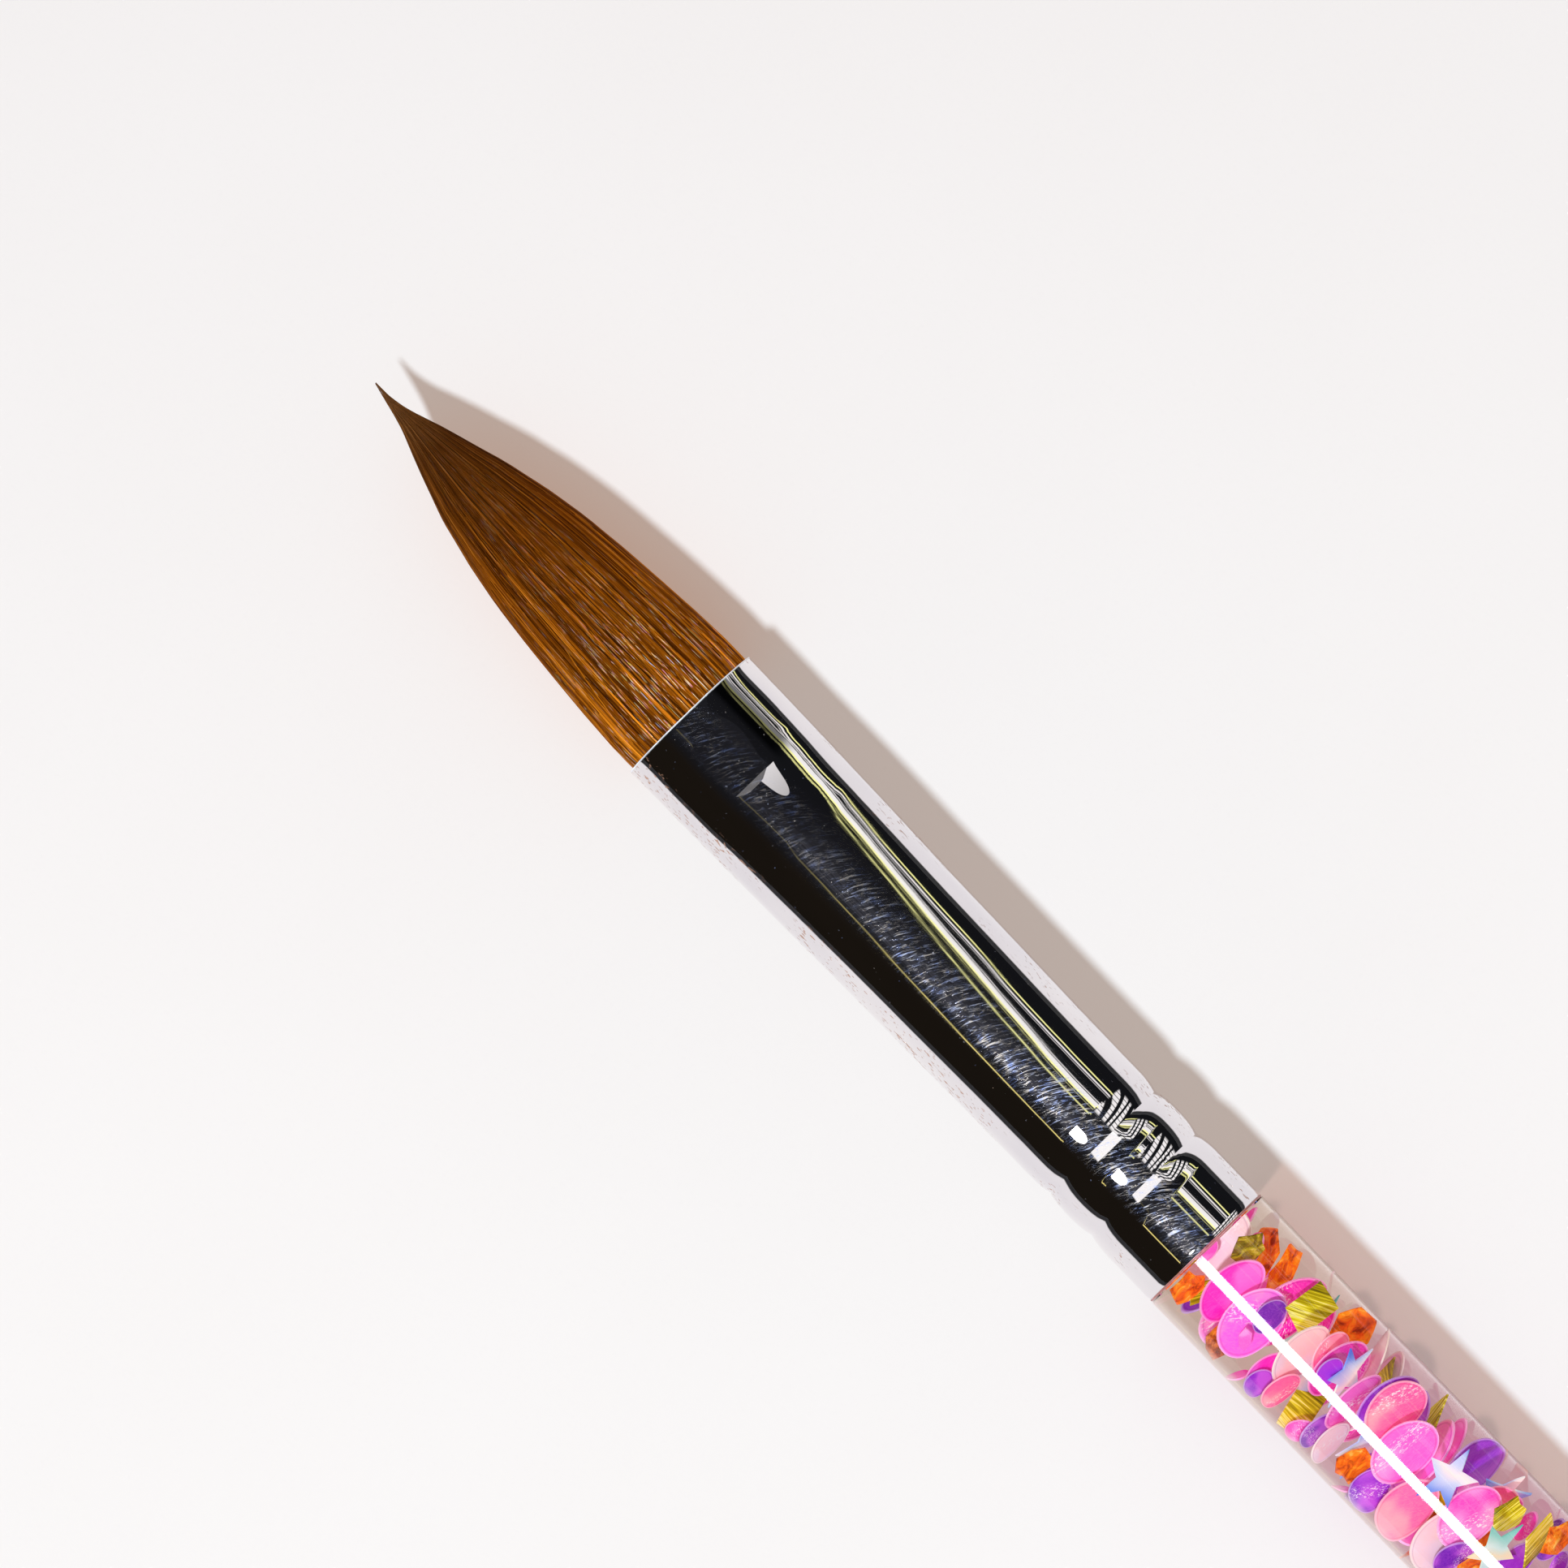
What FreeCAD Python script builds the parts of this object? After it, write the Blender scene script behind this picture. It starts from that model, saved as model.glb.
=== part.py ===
import FreeCAD, Part
import os, math
from FreeCAD import Vector as V

# Acrylic nail brush: a pointed hair tuft, a lightly pinched ferrule with two
# crimps, and a clear tube handle filled with loose sequins.
# Millimetres. X runs along the brush (hair tip towards -X, tail towards +X),
# Z is up, and the wide side of the pinched ferrule mouth lies along Y.
# The origin is on the axis, at the shoulder where the ferrule meets the tube.
# "Front" is towards -X and "rear" towards +X.

os.makedirs("parts", exist_ok=True)

# ---- driving dimensions -------------------------------------------------
TUBE_R = 4.0
BORE_R = 3.0
TUBE_LEN = 118.5        # shoulder to tail end of the tube
NECK_LEN = 12.0         # reduced neck of the tube inside the ferrule
NECK_GAP = 0.02         # between neck and ferrule

FERRULE_LEN = 38.8      # shoulder to ferrule mouth
FERRULE_WALL = 0.22
MOUTH_X = -FERRULE_LEN
ROUND_X = -10.6         # the ferrule is round behind this station
ROUND_R = 3.985         # ferrule outer radius on its round part
CREASE_X = -33.86       # transverse crease behind the pressed flats
SEAM = 0.12             # glue line between ferrule end and shoulder

NECK_R = ROUND_R - FERRULE_WALL - NECK_GAP
CEMENT_FILM = 0.05      # cement film around the plugs
PLUG_R = BORE_R - CEMENT_FILM - 0.01


# ---- helpers ------------------------------------------------------------
def save(shape, name):
    assert shape.isValid(), name
    for solid in shape.Solids:
        assert solid.isClosed() and solid.Volume > 0, name
    shape.exportStep("parts/%s.step" % name)


def unwrap(shape):
    """The solid itself, if the shape holds just one."""
    return shape.Solids[0] if len(shape.Solids) == 1 else shape


def lines(points):
    """Straight edges joining (x, radius) points in turn."""
    return [Part.LineSegment(V(x0, r0, 0), V(x1, r1, 0)).toShape()
            for (x0, r0), (x1, r1) in zip(points, points[1:])]


def bent(points, start_slope, end_slope):
    """Smooth edge through (x, radius) points with given end slopes."""
    curve = Part.BSplineCurve()
    curve.interpolate(Points=[V(x, r, 0) for x, r in points],
                      InitialTangent=V(1, start_slope, 0), FinalTangent=V(1, end_slope, 0))
    return curve.toShape()


def revolve(edges):
    return Part.Face(Part.Wire(edges)).revolve(V(0, 0, 0), V(1, 0, 0), 360)


def rod(x0, length, radius):
    return Part.makeCylinder(radius, length, V(x0, 0, 0), V(1, 0, 0))


def ring(x0, x1, inner_r, outer_r):
    return rod(x0, x1 - x0, outer_r).cut(rod(x0, x1 - x0, inner_r))


def extrude_polygon(corners, direction):
    return Part.Face(Part.makePolygon(corners + [corners[0]])).extrude(direction)


def smooth_oval(x, half_width, half_height, y_shift=0.0):
    """Oval across the axis, as one smooth closed curve."""
    count = 24
    points = []
    for i in range(count):
        t = 2 * math.pi * i / count
        points.append(V(x, y_shift + half_width * math.cos(t), half_height * math.sin(t)))
    curve = Part.BSplineCurve()
    curve.interpolate(Points=points, PeriodicFlag=True)
    return Part.Wire(curve.toShape())


def ellipse(x, half_width, half_height, roll):
    """Exact ellipse across the axis, its wide side along Y, rolled about X by degrees."""
    c, s = math.cos(math.radians(roll)), math.sin(math.radians(roll))
    # Part.Ellipse needs a major radius above the minor one, even where the ferrule is round
    major = max(half_width, half_height + 1e-9)
    edge = Part.Ellipse(V(x, major * c, major * s),
                        V(x, -half_height * s, half_height * c), V(x, 0, 0))
    return Part.Wire(edge.toShape())


def value_at(x, rows):
    """Linear interpolation in (x, value) rows, held constant beyond both ends."""
    for (x0, v0), (x1, v1) in zip(rows, rows[1:]):
        if x <= x1:
            t = (x - x0) / (x1 - x0)
            return v0 + (v1 - v0) * max(0.0, t)
    return rows[-1][1]


# ---- crimped round part, shared by the ferrule and the neck ---------------
FRONT_CRIMP_X, REAR_CRIMP_X = -7.76, -4.69
CRIMP_DEPTH = 0.17
CRIMP_SLOPE = 0.30      # slope of the groove walls at the bottom
CRIMP_REACH = 1.5       # from a groove's bottom to the plain round part
RIDGE_RISE = 0.018      # the ridge between the grooves stands this proud
# groove walls: (distance from the groove's bottom, drop below the round part)
OUTER_WALL = [(CRIMP_REACH, 0.0), (0.9, 0.020), (0.45, 0.068), (0.0, CRIMP_DEPTH)]
RIDGE_WALL = [(0.0, CRIMP_DEPTH), (0.45, 0.062), (0.9, 0.006)]
LIP_LEN = 0.30          # the ferrule's rear edge is rolled in over this length
LIP_DROP = 0.05


def crimp_profile(radius, rear_x, lip=False):
    """Edges along X from ROUND_X to rear_x, through both crimps."""
    front, rear = FRONT_CRIMP_X, REAR_CRIMP_X
    front_wall = [(front - run, radius - drop) for run, drop in OUTER_WALL]
    ridge = [(front + run, radius - drop) for run, drop in RIDGE_WALL]
    ridge += [(0.5 * (front + rear), radius + RIDGE_RISE)]
    ridge += [(rear - run, radius - drop) for run, drop in reversed(RIDGE_WALL)]
    rear_wall = [(rear + run, radius - drop) for run, drop in reversed(OUTER_WALL)]
    edges = lines([(ROUND_X, radius), (front - CRIMP_REACH, radius)])
    edges += [bent(front_wall, 0, -CRIMP_SLOPE), bent(ridge, CRIMP_SLOPE, -CRIMP_SLOPE),
              bent(rear_wall, CRIMP_SLOPE, 0)]
    if not lip:
        return edges + lines([(rear + CRIMP_REACH, radius), (rear_x, radius)])
    edges += lines([(rear + CRIMP_REACH, radius), (rear_x - LIP_LEN, radius)])
    rolled = [(rear_x - LIP_LEN, radius), (rear_x - LIP_LEN / 2, radius - 0.012),
              (rear_x, radius - LIP_DROP)]
    return edges + [bent(rolled, 0, -0.42)]


# ---- ferrule ------------------------------------------------------------
# outside of the pinched part: (x, half width along Y)
HALF_WIDTH = [
    (MOUTH_X, 4.326), (-33.5, 4.283), (-28.4, 4.215), (-23.3, 4.118), (-18.2, 4.062),
    (-14.0, 4.008), (ROUND_X, ROUND_R),
]
# (x, half height along Z), before the flats are pressed
HALF_HEIGHT = [
    (MOUTH_X, 3.37), (-36.6, 3.42), (-35.1, 3.445), (CREASE_X, 3.48), (-32.7, 3.60),
    (-31.0, 3.74), (-28.4, 3.805), (-23.3, 3.855), (-18.2, 3.91), (-14.0, 3.955),
    (ROUND_X, ROUND_R),
]
# (x, roll of the oval about X in degrees): the pinch is a little twisted
TWIST = [
    (MOUTH_X, 2.4), (-36.6, 0.8), (-35.1, -0.8), (CREASE_X, -1.8), (-32.7, -1.9),
    (-31.0, -1.2), (-28.4, 0.0), (ROUND_X, 0.0),
]
# loft stations behind the mouth
STATIONS = [-36.6, -35.1, CREASE_X, -32.7, -31.0, -28.4, -25.9, -23.3, -20.8, -18.2,
            -16.0, -14.0, -12.2, ROUND_X]
FLAT_FRONT_Z = 3.16     # height of the pressed flat, 1 mm ahead of the loft's front end
FLAT_CREASE_Z = 3.34    # height of the pressed flat at the crease
FACET_Z = 3.459         # height of the facet just behind the crease
FACET_SLOPE = 0.12
FACET_ROLL = 9.5        # degrees; the upper facet leans towards +Y


def pressing_tool(profile, roll):
    """Cutter from an (x, z) profile, drawn across Y and leaning towards +Y by roll."""
    tool = extrude_polygon([V(x, 0, z) for x, z in profile], V(0, 16, 0))
    tool.translate(V(0, -8, 0))
    tool.rotate(V(0, 0, 0), V(1, 0, 0), -roll)
    return tool


def ferrule_body(inset, front_x, rear_x, lip=False):
    """Solid outline of the ferrule, drawn in by inset."""
    body = Part.makeLoft([
        ellipse(x, value_at(x, HALF_WIDTH) - inset, value_at(x, HALF_HEIGHT) - inset,
                value_at(x, TWIST))
        for x in [front_x] + STATIONS], True, False)

    # a pressed flat ending in a crease, then a small facet, on both broad sides
    clear_z = 12.0
    flat = pressing_tool([
        (front_x - 1, FLAT_FRONT_Z - inset), (CREASE_X, FLAT_CREASE_Z - inset),
        (CREASE_X + 0.3, FLAT_CREASE_Z - inset + 0.13),
        (CREASE_X + 3.0, FLAT_CREASE_Z - inset + 2.4),
        (CREASE_X + 3.0, clear_z), (front_x - 1, clear_z)], 0.0)
    facet_x0, facet_x1 = CREASE_X + 0.02, CREASE_X + 4.0
    facet_z = FACET_Z - inset
    facet = pressing_tool([
        (facet_x0, facet_z), (facet_x1, facet_z + 4.0 * FACET_SLOPE),
        (facet_x1, clear_z), (facet_x0, clear_z)], FACET_ROLL)
    for tool in (flat, facet):
        body = body.cut(tool)
        under = tool.copy()
        under.rotate(V(0, 0, 0), V(1, 0, 0), 180)
        body = body.cut(under)

    radius = ROUND_R - inset
    profile = crimp_profile(radius, rear_x, lip)
    end = profile[-1].Vertexes[-1]
    round_part = revolve(lines([(ROUND_X, 0), (ROUND_X, radius)]) + profile
                         + lines([(end.X, end.Y), (end.X, 0), (ROUND_X, 0)]))
    return body.fuse(round_part)


def ferrule():
    outer = ferrule_body(0.0, MOUTH_X, -SEAM, lip=True)
    inner = ferrule_body(FERRULE_WALL, MOUTH_X - 0.5, -SEAM + 0.4)
    return unwrap(outer.cut(inner))


save(ferrule(), "ferrule")


# ---- handle tube, one piece with its neck ---------------------------------
def handle_tube():
    front = -NECK_LEN
    crimps_end = -0.6
    shoulder_chamfer = 0.08
    return revolve(
        lines([(front, BORE_R), (front, NECK_R - 0.35), (front + 0.5, NECK_R),
               (ROUND_X, NECK_R)])
        + crimp_profile(NECK_R, crimps_end)
        + lines([(crimps_end, NECK_R), (0, NECK_R), (0, TUBE_R - shoulder_chamfer),
                 (shoulder_chamfer, TUBE_R), (TUBE_LEN, TUBE_R), (TUBE_LEN, BORE_R),
                 (front, BORE_R)]))


save(handle_tube(), "handle_tube")
save(ring(-SEAM + 0.01, -0.01, NECK_R + 0.03, ROUND_R - 0.012), "shoulder_glue")

# ---- plugs at both ends of the bore ---------------------------------------
PLUG_CHAMFER = 0.3
CEMENT_INSET = 0.35     # the cement starts this far behind a plug's front face
FRONT_PLUG_X = -NECK_LEN + 0.2
FRONT_PLUG_LEN = 4.0
SPIGOT_LEN = 8.0        # rear plug inside the bore
HEAD_LEN = 3.0          # rear plug outside the bore
HEAD_GAP = 0.02         # between the tube's end and the head
HEAD_ROUND = 1.1        # radius of the head's rounded edge
SPIGOT_X = TUBE_LEN - SPIGOT_LEN


def cement(x0, x1):
    return ring(x0, x1, BORE_R - CEMENT_FILM - 0.005, BORE_R - 0.005)


def front_plug():
    plug = rod(FRONT_PLUG_X, FRONT_PLUG_LEN, PLUG_R)
    rims = [e for e in plug.Edges if e.Curve.TypeId == "Part::GeomCircle"]
    return plug.makeChamfer(PLUG_CHAMFER, rims)


def rear_plug():
    head_x0 = TUBE_LEN + HEAD_GAP
    head_x1 = head_x0 + HEAD_LEN
    round_x = head_x1 - HEAD_ROUND
    round_r = TUBE_R - HEAD_ROUND
    half = math.pi / 4
    arc = Part.Arc(V(round_x, TUBE_R, 0),
                   V(round_x + HEAD_ROUND * math.sin(half),
                     round_r + HEAD_ROUND * math.cos(half), 0),
                   V(head_x1, round_r, 0)).toShape()
    return revolve(
        lines([(SPIGOT_X, 0), (SPIGOT_X, PLUG_R - PLUG_CHAMFER),
               (SPIGOT_X + PLUG_CHAMFER, PLUG_R), (head_x0, PLUG_R), (head_x0, TUBE_R),
               (round_x, TUBE_R)])
        + [arc]
        + lines([(head_x1, round_r), (head_x1, 0), (SPIGOT_X, 0)]))


save(front_plug(), "front_plug")
save(cement(FRONT_PLUG_X + CEMENT_INSET, FRONT_PLUG_X + FRONT_PLUG_LEN - CEMENT_INSET),
     "front_cement")
save(rear_plug(), "rear_plug")
save(cement(SPIGOT_X + CEMENT_INSET, TUBE_LEN - 0.05), "rear_cement")

# ---- hair ----------------------------------------------------------------
HAIR_LEN = 24.0         # hair out of the ferrule
# hair outside: (x from the mouth, half width, sideways shift of the centre along Y)
HAIR = [
    (-HAIR_LEN, 0.05, 0.19), (-23.4, 0.10, 0.16), (-22.6, 0.20, 0.08), (-21.8, 0.38, 0.10),
    (-20.95, 0.655, 0.11), (-20.1, 0.98, 0.09), (-18.83, 1.40, 0.05), (-17.56, 1.80, 0.02),
    (-16.28, 2.22, 0.0), (-15.01, 2.50, 0.0), (-13.74, 2.80, 0.0), (-12.47, 3.03, 0.0),
    (-11.2, 3.24, 0.0), (-8.65, 3.52, 0.0), (-6.11, 3.73, 0.0), (-3.56, 3.92, 0.0),
    (-1.6, 4.02, 0.0),
]
# hair inside the ferrule: (x, half width, half height)
HAIR_ROOT = [
    (MOUTH_X + 0.1, 4.035, 2.93), (MOUTH_X + 3.0, 3.90, 2.95), (MOUTH_X + 5.6, 3.62, 2.98),
    (-31.6, 3.30, 2.98), (-30.6, 3.05, 2.98), (-29.8, 2.98, 2.97), (-28.8, 2.97, 2.97),
    (-27.7, 2.97, 2.97), (-26.6, 2.97, 2.97),
]
TIP_FLATNESS = 0.95     # height over width at the hair tip
FLATNESS_LOSS = 0.215   # lost between the tip and the mouth
JOINTS = [(-42.2, 4.38), (-47.5, 3.90), (-53.5, 2.92)]   # (x, ball radius) of each joint
JOINT_GAP = 0.12        # between the lengths of the tuft


def whole_tuft():
    sections = []
    for x, half_width, y_shift in HAIR:
        flatness = TIP_FLATNESS - FLATNESS_LOSS * (HAIR_LEN + x) / HAIR_LEN
        sections.append(smooth_oval(MOUTH_X + x, half_width, half_width * flatness, y_shift))
    sections += [smooth_oval(*row) for row in HAIR_ROOT]
    return Part.makeLoft(sections, True, False)


def joint_ball(joint, extra=0.0):
    x, radius = JOINTS[joint]
    return Part.makeSphere(radius + extra, V(x, 0, 0))


def tuft_length(tuft, rear_joint, front_joint):
    """The tuft between two joints: a ball at its rear end, a socket at its front."""
    x1 = 0.0 if rear_joint is None else JOINTS[rear_joint][0]
    x0 = -70.0 if front_joint is None else JOINTS[front_joint][0]
    tool = Part.makeBox(x1 - x0, 20, 20, V(x0, -10, -10))
    if rear_joint is not None:
        tool = tool.fuse(joint_ball(rear_joint))
    if front_joint is not None:
        tool = tool.cut(joint_ball(front_joint, JOINT_GAP))
    return unwrap(tuft.common(tool))


TUFT = whole_tuft()
for name, rear_joint, front_joint in (("hair_root", None, 0), ("hair_base", 0, 1),
                                      ("hair_belly", 1, 2), ("hair_tip", 2, None)):
    save(tuft_length(TUFT, rear_joint, front_joint), name)

# ---- binding thread and glue at the root -----------------------------------
THREAD_R = 0.13
WINDING_R = 3.14
THREAD_X = -28.9        # frontmost turn
THREAD_PITCH = 0.29
THREAD_TURNS = 5
GLUE_STATIONS = (-26.4, -25.2, -24.0, -22.9)
GLUE_INSET = FERRULE_WALL + 0.02


def root_thread():
    """The turns round the root, each a closed ring."""
    return Part.makeCompound([
        Part.makeTorus(WINDING_R, THREAD_R, V(THREAD_X + THREAD_PITCH * i, 0, 0), V(1, 0, 0))
        for i in range(THREAD_TURNS)])


def root_glue():
    """Plug behind the root, filling the ferrule."""
    return Part.makeLoft([
        smooth_oval(x, value_at(x, HALF_WIDTH) - GLUE_INSET, value_at(x, HALF_HEIGHT) - GLUE_INSET)
        for x in GLUE_STATIONS], True, False)


save(root_thread(), "root_thread")
save(root_glue(), "root_glue")

# ---- loose sequins in the bore ---------------------------------------------
SEQUIN_T = 0.09
DISC_R = {"disc3": 1.5, "disc2": 1.0, "disc15": 0.75, "disc1": 0.5}


def spokes(radii):
    """Corners at even angles round the centre, one per radius."""
    step = 2 * math.pi / len(radii)
    return [(r * math.cos(step * i), r * math.sin(step * i)) for i, r in enumerate(radii)]


# (x, y) corners of the other shapes
OUTLINES = {
    "star": spokes([1.60, 0.66] * 5),
    "hexagon": spokes([1.13] * 6),
    "square": [(0.87, 0.87), (-0.87, 0.87), (-0.87, -0.87), (0.87, -0.87)],
    "flake": [(1.02, 0.05), (0.55, 0.52), (0.18, 0.83), (-0.42, 0.70), (-0.98, 0.22),
              (-0.70, -0.48), (-0.15, -0.60), (0.30, -0.92), (0.62, -0.40)],
    "petal": [(0.60, 0.0), (0.30, 0.26), (-0.25, 0.30), (-0.60, 0.0), (-0.25, -0.30),
              (0.30, -0.26)],
}

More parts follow.
